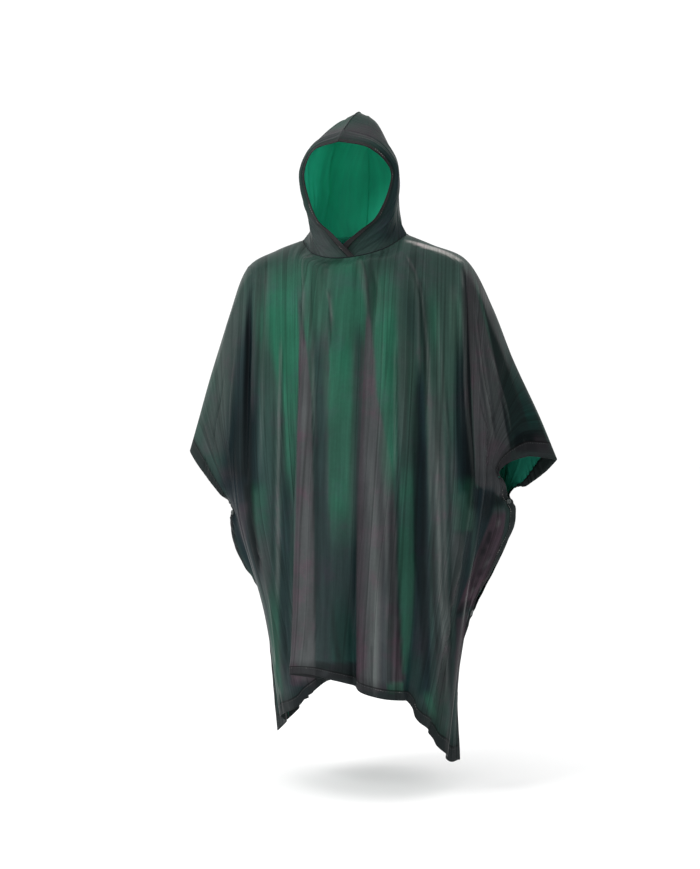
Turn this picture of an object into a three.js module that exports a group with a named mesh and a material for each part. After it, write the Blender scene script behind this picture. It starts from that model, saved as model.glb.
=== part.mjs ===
import * as THREE from 'three';

// A hooded rain poncho of thin plastic film, hanging as it is worn, in millimetres.
// The origin is the base of the neck, +Z is up, the front faces -Y and +X is the wearer's left.
// One sheet is folded over the shoulders and arms. It is cut here along that fold into a
// front and a back panel. The hood is two halves joined over the crown and down the back.

const filmWall = 1.5;
const hemWall = 1.0;
const seamGap = 0.3;
const sheetWidth = 1320;
const halfLength = 1015;
const bottomHemDepth = 24;
const sideHemDepth = 38;
const snapRadius = 6;
const snapHeight = 2.4;
const snapLift = 0.8;
const snapRim = 0.45;
const snapCrown = 0.72;
const snapFacets = 14;
const chinLap = { over: 20, under: 12, tuckedIn: 9 };
const tuckedFrom = { back: [0.12, 0.45], up: [0.1, 0.4] };
const seamEdge = 0.97;
const hoodAboveSeam = 0.5;

const filmOutside = { color: 0x2f4644, roughness: 0.38, metalness: 0 };
const hoodFilm = { color: 0x24584a, roughness: 0.38, metalness: 0 };
const hemFilm = { color: 0x46444c, roughness: 0.42, metalness: 0 };
const snapPlastic = { color: 0x1d2423, roughness: 0.35, metalness: 0 };

// Levels down a panel, from the shoulder fold or neck seam at 0 to the hem at 1.
const levels = { turn: 0.05, chest: 0.28, waist: 0.52, hip: 0.76, hem: 1 };
const levelNames = Object.keys(levels);
const levelKnots = [-levels.turn, 0, ...Object.values(levels)];

// The shoulder and arm fold, from the side of the neck to the tip of each sleeve.
// "across" is the distance from the middle of the cut sheet.
const neckSideAcross = 100;
const tipAcross = sheetWidth / 2;
const ridgeRight = [
  { across: neckSideAcross, at: [113, 0, 8] },
  { across: 150, at: [160, 12, -12] },
  { across: 235, at: [234, 25, -47] },
  { across: 330, at: [286, 32, -143] },
  { across: 440, at: [330, 35, -254] },
  { across: 560, at: [385, 36, -372] },
  { across: tipAcross, at: [423, 35, -463] },
];
const ridgeLeft = [
  { across: -tipAcross, at: [-390, 35, -447] },
  { across: -560, at: [-368, 36, -374] },
  { across: -440, at: [-335, 35, -268] },
  { across: -330, at: [-292, 32, -150] },
  { across: -235, at: [-250, 25, -50] },
  { across: -150, at: [-176, 12, -14] },
  { across: -neckSideAcross, at: [-118, 0, 3] },
];

// The neck seam, where the hood joins the panels.
const neckFront = [
  { across: -neckSideAcross, at: [-118, 0, 3] },
  { across: -60, at: [-72, -75, -34] },
  { across: 0, at: [0, -107, -48] },
  { across: 60, at: [76, -77, -30] },
  { across: neckSideAcross, at: [113, 0, 8] },
];
const neckBack = [
  { across: -neckSideAcross, at: [-118, 0, 3] },
  { across: -60, at: [-75, 60, 12] },
  { across: 0, at: [0, 84, 18] },
  { across: 60, at: [74, 61, 14] },
  { across: neckSideAcross, at: [113, 0, 8] },
];

// Where the front hangs: one row for each line down the cloth, one column for each level.
const frontLines = [
  { across: -660, turn: [-366, 12, -474], chest: [-309, -5, -537], waist: [-283, 26, -579],
    hip: [-226, 46, -748], hem: [-195, 58, -1058] },
  { across: -440, turn: [-320, -8, -305], chest: [-285, -35, -456], waist: [-250, -12, -613],
    hip: [-193, 12, -795], hem: [-163, 20, -1032] },
  { across: -235, turn: [-232, -35, -86], chest: [-232, -55, -338], waist: [-217, -60, -562],
    hip: [-160, -55, -783], hem: [-115, -45, -990] },
  { across: -150, turn: [-158, -58, -54], chest: [-146, -98, -320], waist: [-128, -108, -548],
    hip: [-104, -105, -755], hem: [-66, -90, -945] },
  { across: -60, turn: [-80, -95, -56], chest: [-72, -118, -320], waist: [-66, -116, -547],
    hip: [-56, -100, -755], hem: [-44, -88, -916] },
  { across: 0, turn: [0, -118, -76], chest: [0, -125, -321], waist: [-4, -118, -546],
    hip: [-8, -98, -754], hem: [-14, -86, -906] },
  { across: 60, turn: [84, -96, -58], chest: [92, -132, -322], waist: [84, -134, -545],
    hip: [62, -112, -748], hem: [36, -96, -904] },
  { across: 150, turn: [170, -62, -44], chest: [178, -120, -322], waist: [172, -136, -544],
    hip: [158, -136, -765], hem: [132, -130, -942] },
  { across: 235, turn: [248, -40, -88], chest: [258, -95, -342], waist: [258, -103, -545],
    hip: [208, -88, -790], hem: [162, -88, -1003] },
  { across: 440, turn: [330, -15, -286], chest: [298, -56, -420], waist: [278, -44, -562],
    hip: [230, -12, -788], hem: [198, -6, -1088] },
  { across: 660, turn: [371, -8, -456], chest: [314, -34, -488], waist: [317, 26, -549],
    hip: [241, 41, -786], hem: [217, 38, -1096] },
];
const backLines = [
  { across: -660, turn: [-372, 60, -478], chest: [-325, 82, -545], waist: [-283, 38, -579],
    hip: [-226, 58, -748], hem: [-186, 98, -1040] },
  { across: -440, turn: [-322, 78, -306], chest: [-288, 102, -450], waist: [-250, 96, -612],
    hip: [-198, 104, -800], hem: [-168, 120, -1020] },
  { across: -235, turn: [-236, 86, -84], chest: [-226, 126, -335], waist: [-214, 142, -560],
    hip: [-174, 152, -785], hem: [-140, 158, -985] },
  { across: -150, turn: [-162, 82, -46], chest: [-142, 130, -316], waist: [-132, 155, -545],
    hip: [-120, 170, -760], hem: [-104, 178, -955] },
  { across: -60, turn: [-78, 90, -18], chest: [-70, 135, -315], waist: [-64, 158, -545],
    hip: [-58, 172, -755], hem: [-50, 180, -938] },
  { across: 0, turn: [0, 104, -10], chest: [0, 138, -315], waist: [0, 160, -545],
    hip: [0, 173, -755], hem: [0, 182, -934] },
  { across: 60, turn: [78, 90, -16], chest: [76, 135, -316], waist: [72, 158, -545],
    hip: [66, 172, -756], hem: [58, 180, -938] },
  { across: 150, turn: [162, 82, -38], chest: [170, 130, -320], waist: [164, 155, -545],
    hip: [138, 170, -765], hem: [112, 176, -955] },
  { across: 235, turn: [240, 82, -88], chest: [242, 122, -338], waist: [236, 138, -560],
    hip: [184, 150, -790], hem: [142, 146, -995] },
  { across: 440, turn: [328, 70, -292], chest: [316, 96, -434], waist: [276, 92, -590],
    hip: [206, 98, -800], hem: [162, 104, -1035] },
  { across: 660, turn: [396, 62, -488], chest: [352, 82, -519], waist: [317, 41, -549],
    hip: [241, 55, -786], hem: [180, 82, -1062] },
];

// Pleats fan out from the neck and shoulders. "width" is the cloth each takes on the sheet,
// "lean" how far its crest is laid over sideways at the hem and "stands" how far it
// stands out there. "atTop" is the share of that which already shows at the neck. "drift" is
// how far a pleat that hangs plumb has crossed the narrowing cloth by the hem.
const frontPleats = [
  { across: -44, width: 78, lean: -84, stands: 60, atTop: 0.16 },
  { across: 43, width: 84, lean: -40, stands: 54, atTop: 0.16, drift: 61 },
  { across: 205, width: 60, lean: -16, stands: 16, atTop: 0.25 },
  { across: 330, width: 80, lean: -12, stands: 18, atTop: 0.25 },
  { across: -205, width: 70, lean: 14, stands: 18, atTop: 0.25 },
  { across: -360, width: 90, lean: -10, stands: 20, atTop: 0.15 },
];
const backPleats = [
  { across: -310, width: 80, lean: 20, stands: 24, atTop: 0.2 },
  { across: -130, width: 76, lean: 66, stands: 54, atTop: 0.16 },
  { across: 30, width: 74, lean: 62, stands: 52, atTop: 0.16 },
  { across: 196, width: 74, lean: -44, stands: 42, atTop: 0.18 },
  { across: 350, width: 80, lean: -18, stands: 22, atTop: 0.2 },
];
// Between the snaps the side edges loop outwards: "side" is how far, at each place down.
const edgeLoops = {
  right: [
    { down: 0.5, side: 0 },
    { down: 0.57, side: -22 },
    { down: 0.66, side: -36 },
    { down: 0.72, side: -24 },
    { down: 0.76, side: -3 },
    { down: 0.8, side: 0 },
    { down: 1, side: 0 },
  ],
  left: [
    { down: 0.5, side: 0 },
    { down: 0.55, side: 26 },
    { down: 0.6, side: 34 },
    { down: 0.68, side: 22 },
    { down: 0.76, side: 0 },
    { down: 0.88, side: -14 },
    { down: 1, side: 0 },
  ],
};
const loopFade = 170;
// The round trip of the cloth through one pleat: "along" its width, "side" as a share of
// its lean and "out" as a share of how far it stands out.
const pleatShape = [
  { along: -1.5, side: 0, out: 0 },
  { along: -0.75, side: -0.1, out: 0.05 },
  { along: -0.55, side: -0.13, out: 0.16 },
  { along: -0.42, side: -0.06, out: 0.3 },
  { along: -0.3, side: 0.12, out: 0.42 },
  { along: -0.14, side: 0.52, out: 0.56 },
  { along: 0, side: 0.86, out: 0.68 },
  { along: 0.1, side: 1.02, out: 0.83 },
  { along: 0.22, side: 1.11, out: 1 },
  { along: 0.34, side: 1.06, out: 1.1 },
  { along: 0.5, side: 0.82, out: 1.15 },
  { along: 0.75, side: 0.4, out: 1.05 },
  { along: 0.98, side: 0.06, out: 0.62 },
  { along: 1.2, side: -0.04, out: 0.12 },
  { along: 1.6, side: 0, out: 0 },
];

// The hood's wearer's-left half. Rows run from the face edge back to the back seam,
// columns from just above the neck seam up to the crown seam.
const hoodHeights = { low: 0.1, chin: 0.2, jaw: 0.34, cheek: 0.52, temple: 0.66, brow: 0.84, crown: 1 };
const hoodRows = [
  { back: 0, low: [0, -106, -20], chin: [28, -92, 6], jaw: [64, -74, 38], cheek: [90, -64, 100],
    temple: [92, -72, 140], brow: [58, -112, 176], crown: [0, -131, 188] },
  { back: 0.2, low: [70, -72, -8], chin: [84, -58, 22], jaw: [96, -46, 58], cheek: [107, -54, 108],
    temple: [104, -60, 152], brow: [64, -80, 198], crown: [0, -92, 220] },
  { back: 0.5, low: [96, 4, 34], chin: [91, 6, 60], jaw: [88, 8, 92], cheek: [86, 8, 136],
    temple: [73, 2, 190], brow: [42, 12, 249], crown: [0, 24, 276] },
  { back: 0.75, low: [68, 66, 42], chin: [66, 70, 68], jaw: [66, 74, 98], cheek: [64, 78, 138],
    temple: [54, 80, 182], brow: [28, 76, 228], crown: [0, 78, 248] },
  { back: 1, low: [0, 88, 46], chin: [0, 94, 72], jaw: [0, 100, 100], cheek: [0, 104, 132],
    temple: [0, 104, 160], brow: [0, 102, 186], crown: [0, 98, 206] },
];

// A smooth curve through the values at the knots, held to a straight run past its ends.
function smooth(knots, values, x) {
  const last = knots.length - 1;
  let i = 0;
  while (i < last - 1 && x > knots[i + 1]) i += 1;
  const step = knots[i + 1] - knots[i];
  const rise = (values[i + 1] - values[i]) / step;
  const slopeAt = (k) => {
    const a = Math.max(k - 1, 0);
    const b = Math.min(k + 1, last);
    return (values[b] - values[a]) / (knots[b] - knots[a]);
  };
  const from = i === 0 ? rise : slopeAt(i);
  const to = i === last - 1 ? rise : slopeAt(i + 1);
  const t = (x - knots[i]) / step;
  if (t < 0) return values[i] + rise * (x - knots[i]);
  if (t > 1) return values[i + 1] + rise * (x - knots[i + 1]);
  const curve = t * (1 - t) * ((1 - t) * (from - rise) - t * (to - rise)) * step;
  return values[i] + rise * step * t + curve;
}

function smoothPoint(knots, points, x) {
  return [0, 1, 2].map((axis) => smooth(knots, points.map((p) => p[axis]), x));
}

function ramp(from, to, x) {
  return THREE.MathUtils.smoothstep(x, from, to);
}

const onRow = (rows, across) => smoothPoint(rows.map((r) => r.across), rows.map((r) => r.at), across);

function topEdge(neckRows, across) {
  if (across <= -neckSideAcross) return onRow(ridgeLeft, across);
  if (across >= neckSideAcross) return onRow(ridgeRight, across);
  return onRow(neckRows, across);
}

const evenSteps = 32;
const clearances = { pleat: 6, seam: 2.5, even: 30 };
const deepLean = 30;
const driftReach = 150;
const softPleatSteps = [-0.75, -0.42, -0.1, 0.16, 0.45, 0.7, 0.98, 1.3];
const pleatKnots = pleatShape.map((p) => p.along);
const pleatSides = pleatShape.map((p) => p.side);
const pleatOuts = pleatShape.map((p) => p.out);

function pleatShift(pleats, across, down) {
  let side = 0;
  let out = 0;
  for (const pleat of pleats) {
    const along = (Math.sign(-pleat.lean) * (across - pleat.across)) / pleat.width;
    if (along <= pleatKnots[0] || along >= pleatKnots[pleatKnots.length - 1]) continue;
    const grown = ramp(0, levels.turn, down) * (pleat.atTop + (1 - pleat.atTop) * down);
    side += pleat.lean * grown * smooth(pleatKnots, pleatSides, along);
    out += pleat.stands * grown * smooth(pleatKnots, pleatOuts, along);
  }
  return { side, out };
}

// How far the pleats have drifted across the cloth at a column.
function drifted(pleats, column, down) {
  let shift = 0;
  for (const pleat of pleats.filter((row) => row.drift)) {
    const near = Math.max(0, 1 - ((column - pleat.across) / driftReach) ** 2) ** 2;
    shift += pleat.drift * near * down ** 3;
  }
  return shift;
}

function edgeShift(across, down) {
  const rows = across < 0 ? edgeLoops.right : edgeLoops.left;
  if (down <= rows[0].down || down >= rows[rows.length - 1].down) return 0;
  const nearEdge = ramp(tipAcross - loopFade, tipAcross, Math.abs(across));
  return nearEdge * smooth(rows.map((r) => r.down), rows.map((r) => r.side), down);
}

const runStep = 40;

// A panel is its hanging lines, its pleats and the seam that it starts from.
const panels = {
  front: { lines: frontLines, pleats: frontPleats, neckRows: neckFront, facing: -1 },
  back: { lines: backLines, pleats: backPleats, neckRows: neckBack, facing: 1 },
};

function hangingPoint(panel, across, down) {
  const knots = panel.lines.map((line) => line.across);
  const points = levelNames.map((level) => smoothPoint(knots, panel.lines.map((line) => line[level]), across));
  const start = topEdge(panel.neckRows, across);
  const turn = points[0];
  // Over the fold the cloth runs level from the other panel; at the neck it starts freely.
  const free = 1 - ramp(neckSideAcross * 0.7, neckSideAcross, Math.abs(across));
  const level = [turn[0], 2 * start[1] - turn[1], turn[2]];
  const freely = start.map((v, axis) => 2 * v - turn[axis]);
  const before = level.map((v, axis) => v + (freely[axis] - v) * free);
  start[1] += (panel.facing * seamGap) / 2;
  return new THREE.Vector3(...smoothPoint(levelKnots, [before, start, ...points], down));
}

// A pleat lies along the cloth's own level run there and stands out square to it.
function panelPoint(panel, column, down) {
  const across = column + drifted(panel.pleats, column, down);
  const point = hangingPoint(panel, across, down);
  point.x += edgeShift(across, down);
  const { side, out } = pleatShift(panel.pleats, column, down);
  if (side === 0 && out === 0) return point;
  const run = hangingPoint(panel, across + runStep, down).sub(hangingPoint(panel, across - runStep, down));
  run.setZ(0).normalize();
  const facingOut = new THREE.Vector3(run.y, -run.x, 0).multiplyScalar(-panel.facing);
  return point.addScaledVector(run, side).addScaledVector(facingOut, out);
}

function outward(pointAt, a, b, stepA, stepB, flip) {
  const alongA = pointAt(a + stepA, b).sub(pointAt(a - stepA, b));
  const alongB = pointAt(a, b + stepB).sub(pointAt(a, b - stepB));
  return alongA.cross(alongB).multiplyScalar(flip).normalize();
}

function panelNormal(panel, across, down) {
  const a = THREE.MathUtils.clamp(across, -tipAcross + 1, tipAcross - 1);
  const b = THREE.MathUtils.clamp(down, 0.002, 0.998);
  const normal = outward((s, v) => panelPoint(panel, s, v), a, b, 1, 0.002, panel.facing);
  // Along the shoulder fold both panels' walls stop square on it.
  if (down === 0 && Math.abs(across) >= neckSideAcross - 1) normal.y = 0;
  return normal.normalize();
}

// Where the hood's columns meet the neck seam: "back" runs from the face edge, at 0, to the
// back seam, at 1. At the chin the wearer's-right half laps over the other.
const hoodBackPlaces = [0, 0.055, 0.11, 0.18, 0.26, 0.34, 0.42, 0.5, 0.58, 0.66, 0.75, 0.84, 0.92, 1];

function neckAcross(side, back) {
  const lap = side > 0 ? chinLap.under : chinLap.over;
  if (back < 0.5) return side * THREE.MathUtils.lerp(-lap, neckSideAcross, back / 0.5);
  return side * THREE.MathUtils.lerp(neckSideAcross, 0, (back - 0.5) / 0.5);
}

function seamPlaces(isFront) {
  const columns = hoodBackPlaces.filter((back) => (isFront ? back <= 0.5 : back >= 0.5));
  const both = columns.flatMap((back) => [neckAcross(-1, back), neckAcross(1, back)]);
  return both.filter((s, i) => both.findIndex((other) => Math.abs(other - s) < 0.01) === i);
}

// Places across the sheet: those shared with the hood along the neck seam, even steps,
// closer ones through each pleat, and the side hems' edges.
function acrossPlaces(pleats, shared) {
  const inner = tipAcross - sideHemDepth;
  const places = [-tipAcross, -inner, inner, tipAcross];
  const add = (across, clearance) => {
    if (places.every((other) => Math.abs(other - across) >= clearance)) places.push(across);
  };
  for (const pleat of pleats) {
    const steps = Math.abs(pleat.lean) > deepLean ? pleatKnots.slice(1, -1) : softPleatSteps;
    for (const along of steps) add(pleat.across - Math.sign(pleat.lean) * along * pleat.width, clearances.pleat);
  }
  for (const across of shared) add(across, clearances.seam);
  for (let i = 0; i <= evenSteps; i += 1) add(-inner + (2 * inner * i) / evenSteps, clearances.even);
  return places.sort((a, b) => a - b);
}

// Places down it: from the top to the upper snap, between the snaps, and on to the hem.
const snapRow = 0.012;
const rowsToWaist = [0, 0.013, 0.032, 0.06, 0.11, 0.2, 0.28, 0.37, 0.45];
const rowsToHip = [0.58, 0.64, 0.7];
const rowsToHem = [0.84, 0.92];

function downPlaces() {
  const besideSnap = (level) => [level - snapRow, level + snapRow];
  const hemRows = [1 - bottomHemDepth / halfLength, 1];
  const upper = [...rowsToWaist, ...besideSnap(levels.waist), ...rowsToHip];
  return [...upper, ...besideSnap(levels.hip), ...rowsToHem, ...hemRows];
}

// A closed wall between two grids of points that face each other.
function wallGeometry(outer, inner) {
  const rows = outer.length;
  const columns = outer[0].length;
  const points = [...outer.flat(), ...inner.flat()];
  const layer = rows * columns;
  const faces = [];
  const quad = (a, b, c, d) => faces.push(a, b, c, a, c, d);
  const at = (r, c) => r * columns + c;
  for (let r = 0; r < rows - 1; r += 1) {
    for (let c = 0; c < columns - 1; c += 1) {
      quad(at(r, c), at(r, c + 1), at(r + 1, c + 1), at(r + 1, c));
      faces.push(layer + at(r, c), layer + at(r + 1, c + 1), layer + at(r, c + 1));
      faces.push(layer + at(r, c), layer + at(r + 1, c), layer + at(r + 1, c + 1));
    }
  }
  const rim = [];
  for (let c = 0; c < columns - 1; c += 1) rim.push([at(0, c), at(0, c + 1)]);
  for (let r = 0; r < rows - 1; r += 1) rim.push([at(r, columns - 1), at(r + 1, columns - 1)]);
  for (let c = columns - 1; c > 0; c -= 1) rim.push([at(rows - 1, c), at(rows - 1, c - 1)]);
  for (let r = rows - 1; r > 0; r -= 1) rim.push([at(r, 0), at(r - 1, 0)]);
  for (const [a, b] of rim) quad(b, a, layer + a, layer + b);
  const geometry = new THREE.BufferGeometry();
  geometry.setAttribute('position', new THREE.Float32BufferAttribute(points.flatMap((p) => p.toArray()), 3));
  geometry.setIndex(facingOut(points, faces) ? faces : faces.toReversed());
  geometry.computeVertexNormals();
  return geometry;
}

function facingOut(points, faces) {
  let volume = 0;
  for (let i = 0; i < faces.length; i += 3) {
    const [a, b, c] = [0, 1, 2].map((k) => points[faces[i + k]]);
    volume += a.dot(b.clone().cross(c));
  }
  return volume > 0;
}

const poncho = new THREE.Group();

function addMesh(name, geometry, finish) {
  const mesh = new THREE.Mesh(geometry, new THREE.MeshStandardMaterial(finish));
  mesh.name = name;
  poncho.add(mesh);
  return mesh;
}

// A wall that starts "under" the cloth's outer face and is "thick" deep.
function clothGrid(pointAt, normalAt, rows, columns, under) {
  return rows.map((b) => columns.map((a) => pointAt(a, b).addScaledVector(normalAt(a, b), -under)));
}

function panelWall(name, panel, columns, rows, under, thick, finish) {
  const pointAt = (s, v) => panelPoint(panel, s, v);
  const normalAt = (s, v) => panelNormal(panel, s, v);
  const outer = clothGrid(pointAt, normalAt, rows, columns, under);
  const inner = clothGrid(pointAt, normalAt, rows, columns, under + thick);
  addMesh(name, wallGeometry(outer, inner), finish);
}

const down = downPlaces();
const hemStarts = down[down.length - 2];
const underFilm = filmWall + seamGap;

for (const [name, panel] of Object.entries(panels)) {
  const across = acrossPlaces(panel.pleats, seamPlaces(name === 'front'));
  const hemEnds = { left: across[1], right: across[across.length - 2] };
  const betweenHems = across.filter((s) => s > hemEnds.left + 1 && s < hemEnds.right - 1);
  panelWall(`${name}-panel`, panel, across, down, 0, filmWall, filmOutside);
  panelWall(`${name}-bottom-hem`, panel, betweenHems, [hemStarts, 1], underFilm, hemWall, hemFilm);
  panelWall(`${name}-side-hem-right`, panel, [-tipAcross, hemEnds.left], down, underFilm, hemWall, hemFilm);
  panelWall(`${name}-side-hem-left`, panel, [hemEnds.right, tipAcross], down, underFilm, hemWall, hemFilm);
}

// Snap fasteners hold front and back together at two points down each side. Each cap lies
// flat in the middle of the side hem.
function snapCap(name, panel, side, down) {
  const edges = [tipAcross, tipAcross - sideHemDepth].map((across) => side * across);
  const ends = [down - snapRow, down + snapRow];
  const [a, b, c, d] = [0, 1, 3, 2].map((k) => panelPoint(panel, edges[k % 2], ends[k >> 1]));
  const normal = c.clone().sub(a).cross(d.clone().sub(b)).normalize();
  if (normal.dot(panelNormal(panel, side * (tipAcross - sideHemDepth / 2), down)) < 0) normal.negate();
  const profile = [
    new THREE.Vector2(0, 0),
    new THREE.Vector2(snapRadius, 0),
    new THREE.Vector2(snapRadius, snapHeight * snapRim),
    new THREE.Vector2(snapRadius * snapCrown, snapHeight),
    new THREE.Vector2(0, snapHeight),
  ];
  const geometry = new THREE.LatheGeometry(profile, snapFacets);
  geometry.applyQuaternion(new THREE.Quaternion().setFromUnitVectors(new THREE.Vector3(0, 1, 0), normal));
  const centre = a.add(b).add(c).add(d).multiplyScalar(0.25).addScaledVector(normal, snapLift);
  geometry.translate(centre.x, centre.y, centre.z);
  addMesh(name, geometry, snapPlastic);
}

for (const [panelName, panel] of Object.entries(panels)) {
  for (const [sideName, side] of Object.entries({ right: -1, left: 1 })) {
    snapCap(`${panelName}-snap-upper-${sideName}`, panel, side, levels.waist);
    snapCap(`${panelName}-snap-lower-${sideName}`, panel, side, levels.hip);
  }
}

// The hood: "back" runs from the face edge to the back seam, "up" from the neck to the crown.
const hoodNames = Object.keys(hoodHeights);
const hoodKnots = [0, ...Object.values(hoodHeights)];
const hoodBackKnots = hoodRows.map((row) => row.back);

function hoodPoint(side, back, up) {
  const neck = onRow(back < 0.5 ? neckFront : neckBack, neckAcross(side, back));
  neck[2] += hoodAboveSeam;
  const column = hoodNames.map((name) => {
    const [x, y, z] = smoothPoint(hoodBackKnots, hoodRows.map((row) => row[name]), back);
    return [side * x, y, z];
  });
  const point = new THREE.Vector3(...smoothPoint(hoodKnots, [neck, ...column], up));
  // At the chin the wearer's-left half is tucked behind the other.
  const near = (1 - ramp(...tuckedFrom.back, back)) * (1 - ramp(...tuckedFrom.up, up));
  const tucked = side > 0 ? near : 0;
  point.y += chinLap.tuckedIn * tucked;
  const seamWeight = Math.max(ramp(seamEdge, 1, back), ramp(seamEdge, 1, up));
  point.x += side * (seamGap / 2) * seamWeight;
  return point;
}

function hoodNormal(side, back, up) {
  const a = THREE.MathUtils.clamp(back, 0.004, 0.996);
  const b = THREE.MathUtils.clamp(up, 0.004, 0.996);
  const normal = outward((w, t) => hoodPoint(side, w, t), a, b, 0.004, 0.004, side);
  // Where the two halves meet their walls stop square on the seam.
  if (back > 0.999 || up > 0.999) normal.x = 0;
  return normal.normalize();
}

const hoodUpPlaces = [0, 0.05, 0.1, 0.15, 0.2, 0.27, 0.34, 0.43, 0.52, 0.59, 0.66, 0.75, 0.84, 0.92, 1];

for (const [sideName, side] of Object.entries({ right: -1, left: 1 })) {
  const pointAt = (back, up) => hoodPoint(side, back, up);
  const normalAt = (back, up) => hoodNormal(side, back, up);
  const grid = (columns, under) => clothGrid(pointAt, normalAt, hoodUpPlaces, columns, under);
  const outer = grid(hoodBackPlaces, 0);
  const inner = grid(hoodBackPlaces, filmWall);
  addMesh(`hood-${sideName}`, wallGeometry(outer, inner), hoodFilm);
  const hemOuter = grid([0, hoodBackPlaces[1]], underFilm);
  const hemInner = grid([0, hoodBackPlaces[1]], underFilm + hemWall);
  addMesh(`face-hem-${sideName}`, wallGeometry(hemOuter, hemInner), hemFilm);
}

export default poncho;
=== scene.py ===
import bmesh
import bpy
import numpy as np
from mathutils import Matrix, Vector


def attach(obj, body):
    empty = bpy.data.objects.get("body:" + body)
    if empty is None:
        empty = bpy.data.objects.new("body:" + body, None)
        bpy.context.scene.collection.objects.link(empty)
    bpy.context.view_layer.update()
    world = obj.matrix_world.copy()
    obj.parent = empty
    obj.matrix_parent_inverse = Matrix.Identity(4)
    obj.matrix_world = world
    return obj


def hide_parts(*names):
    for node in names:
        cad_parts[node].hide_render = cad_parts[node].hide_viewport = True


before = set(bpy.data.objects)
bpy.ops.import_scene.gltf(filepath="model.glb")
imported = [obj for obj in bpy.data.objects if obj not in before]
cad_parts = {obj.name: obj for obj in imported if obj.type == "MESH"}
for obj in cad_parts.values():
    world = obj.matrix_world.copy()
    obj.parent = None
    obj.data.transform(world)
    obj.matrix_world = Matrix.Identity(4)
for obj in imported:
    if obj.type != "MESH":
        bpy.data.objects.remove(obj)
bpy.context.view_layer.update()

# Front panel. The front half of one sheet of soft plastic film, folded over the shoulders and
# arms and hanging open below. The film is smoky grey-green outside and clear green inside.
# Two deep pleats fall from the neck seam, and the side edges swing out between the snaps.

sheet_width = 1.32
half_length = 1.015
tip_across = sheet_width / 2
neck_side = 0.1
side_hem_depth = 0.038
foot_hem_depth = 0.024
film_thickness = 0.0007
photo_turn = np.radians(16)
levels = {"turn": 0.05, "chest": 0.28, "waist": 0.52, "hip": 0.76, "hem": 1.0}
level_knots = [-levels["turn"], 0.0, *levels.values()]

ridge_right = [
    dict(across=0.1, at=(0.113, 0.0, 0.008)),
    dict(across=0.15, at=(0.16, 0.012, -0.012)),
    dict(across=0.235, at=(0.234, 0.025, -0.047)),
    dict(across=0.33, at=(0.286, 0.032, -0.143)),
    dict(across=0.44, at=(0.33, 0.035, -0.254)),
    dict(across=0.56, at=(0.385, 0.036, -0.372)),
    dict(across=0.66, at=(0.423, 0.035, -0.463)),
]
ridge_left = [
    dict(across=-0.66, at=(-0.39, 0.035, -0.447)),
    dict(across=-0.56, at=(-0.368, 0.036, -0.374)),
    dict(across=-0.44, at=(-0.335, 0.035, -0.268)),
    dict(across=-0.33, at=(-0.292, 0.032, -0.15)),
    dict(across=-0.235, at=(-0.25, 0.025, -0.05)),
    dict(across=-0.15, at=(-0.176, 0.012, -0.014)),
    dict(across=-0.1, at=(-0.118, 0.0, 0.003)),
]
neck_front = [
    dict(across=-0.1, at=(-0.118, 0.0, 0.003)),
    dict(across=-0.06, at=(-0.072, -0.075, -0.034)),
    dict(across=0.0, at=(0.0, -0.107, -0.048)),
    dict(across=0.06, at=(0.076, -0.077, -0.03)),
    dict(across=0.1, at=(0.113, 0.0, 0.008)),
]
front_lines = [
    dict(across=-0.66, turn=(-0.366, 0.012, -0.474), chest=(-0.309, -0.005, -0.537),
         waist=(-0.283, 0.026, -0.579), hip=(-0.226, 0.046, -0.748), hem=(-0.195, 0.058, -1.058)),
    dict(across=-0.44, turn=(-0.32, -0.008, -0.305), chest=(-0.285, -0.035, -0.456),
         waist=(-0.25, -0.012, -0.613), hip=(-0.193, 0.012, -0.795), hem=(-0.163, 0.02, -1.032)),
    dict(across=-0.235, turn=(-0.232, -0.035, -0.086), chest=(-0.232, -0.055, -0.338),
         waist=(-0.217, -0.06, -0.562), hip=(-0.16, -0.055, -0.783), hem=(-0.115, -0.045, -0.99)),
    dict(across=-0.15, turn=(-0.158, -0.058, -0.054), chest=(-0.146, -0.098, -0.32),
         waist=(-0.128, -0.108, -0.548), hip=(-0.104, -0.105, -0.755), hem=(-0.066, -0.09, -0.945)),
    dict(across=-0.06, turn=(-0.08, -0.095, -0.056), chest=(-0.072, -0.118, -0.32),
         waist=(-0.066, -0.116, -0.547), hip=(-0.056, -0.1, -0.755), hem=(-0.044, -0.088, -0.916)),
    dict(across=0.0, turn=(0.0, -0.118, -0.076), chest=(0.0, -0.125, -0.321),
         waist=(-0.004, -0.118, -0.546), hip=(-0.008, -0.098, -0.754), hem=(-0.014, -0.086, -0.906)),
    dict(across=0.06, turn=(0.084, -0.096, -0.058), chest=(0.092, -0.132, -0.322),
         waist=(0.084, -0.134, -0.545), hip=(0.062, -0.112, -0.748), hem=(0.036, -0.096, -0.904)),
    dict(across=0.15, turn=(0.17, -0.062, -0.044), chest=(0.178, -0.12, -0.322),
         waist=(0.172, -0.136, -0.544), hip=(0.158, -0.136, -0.765), hem=(0.132, -0.13, -0.942)),
    dict(across=0.235, turn=(0.248, -0.04, -0.088), chest=(0.258, -0.095, -0.342),
         waist=(0.258, -0.103, -0.545), hip=(0.208, -0.088, -0.79), hem=(0.162, -0.088, -1.003)),
    dict(across=0.44, turn=(0.33, -0.015, -0.286), chest=(0.298, -0.056, -0.42),
         waist=(0.278, -0.044, -0.562), hip=(0.23, -0.012, -0.788), hem=(0.198, -0.006, -1.088)),
    dict(across=0.66, turn=(0.371, -0.008, -0.456), chest=(0.314, -0.034, -0.488),
         waist=(0.317, 0.026, -0.549), hip=(0.241, 0.041, -0.786), hem=(0.217, 0.038, -1.096)),
]
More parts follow.
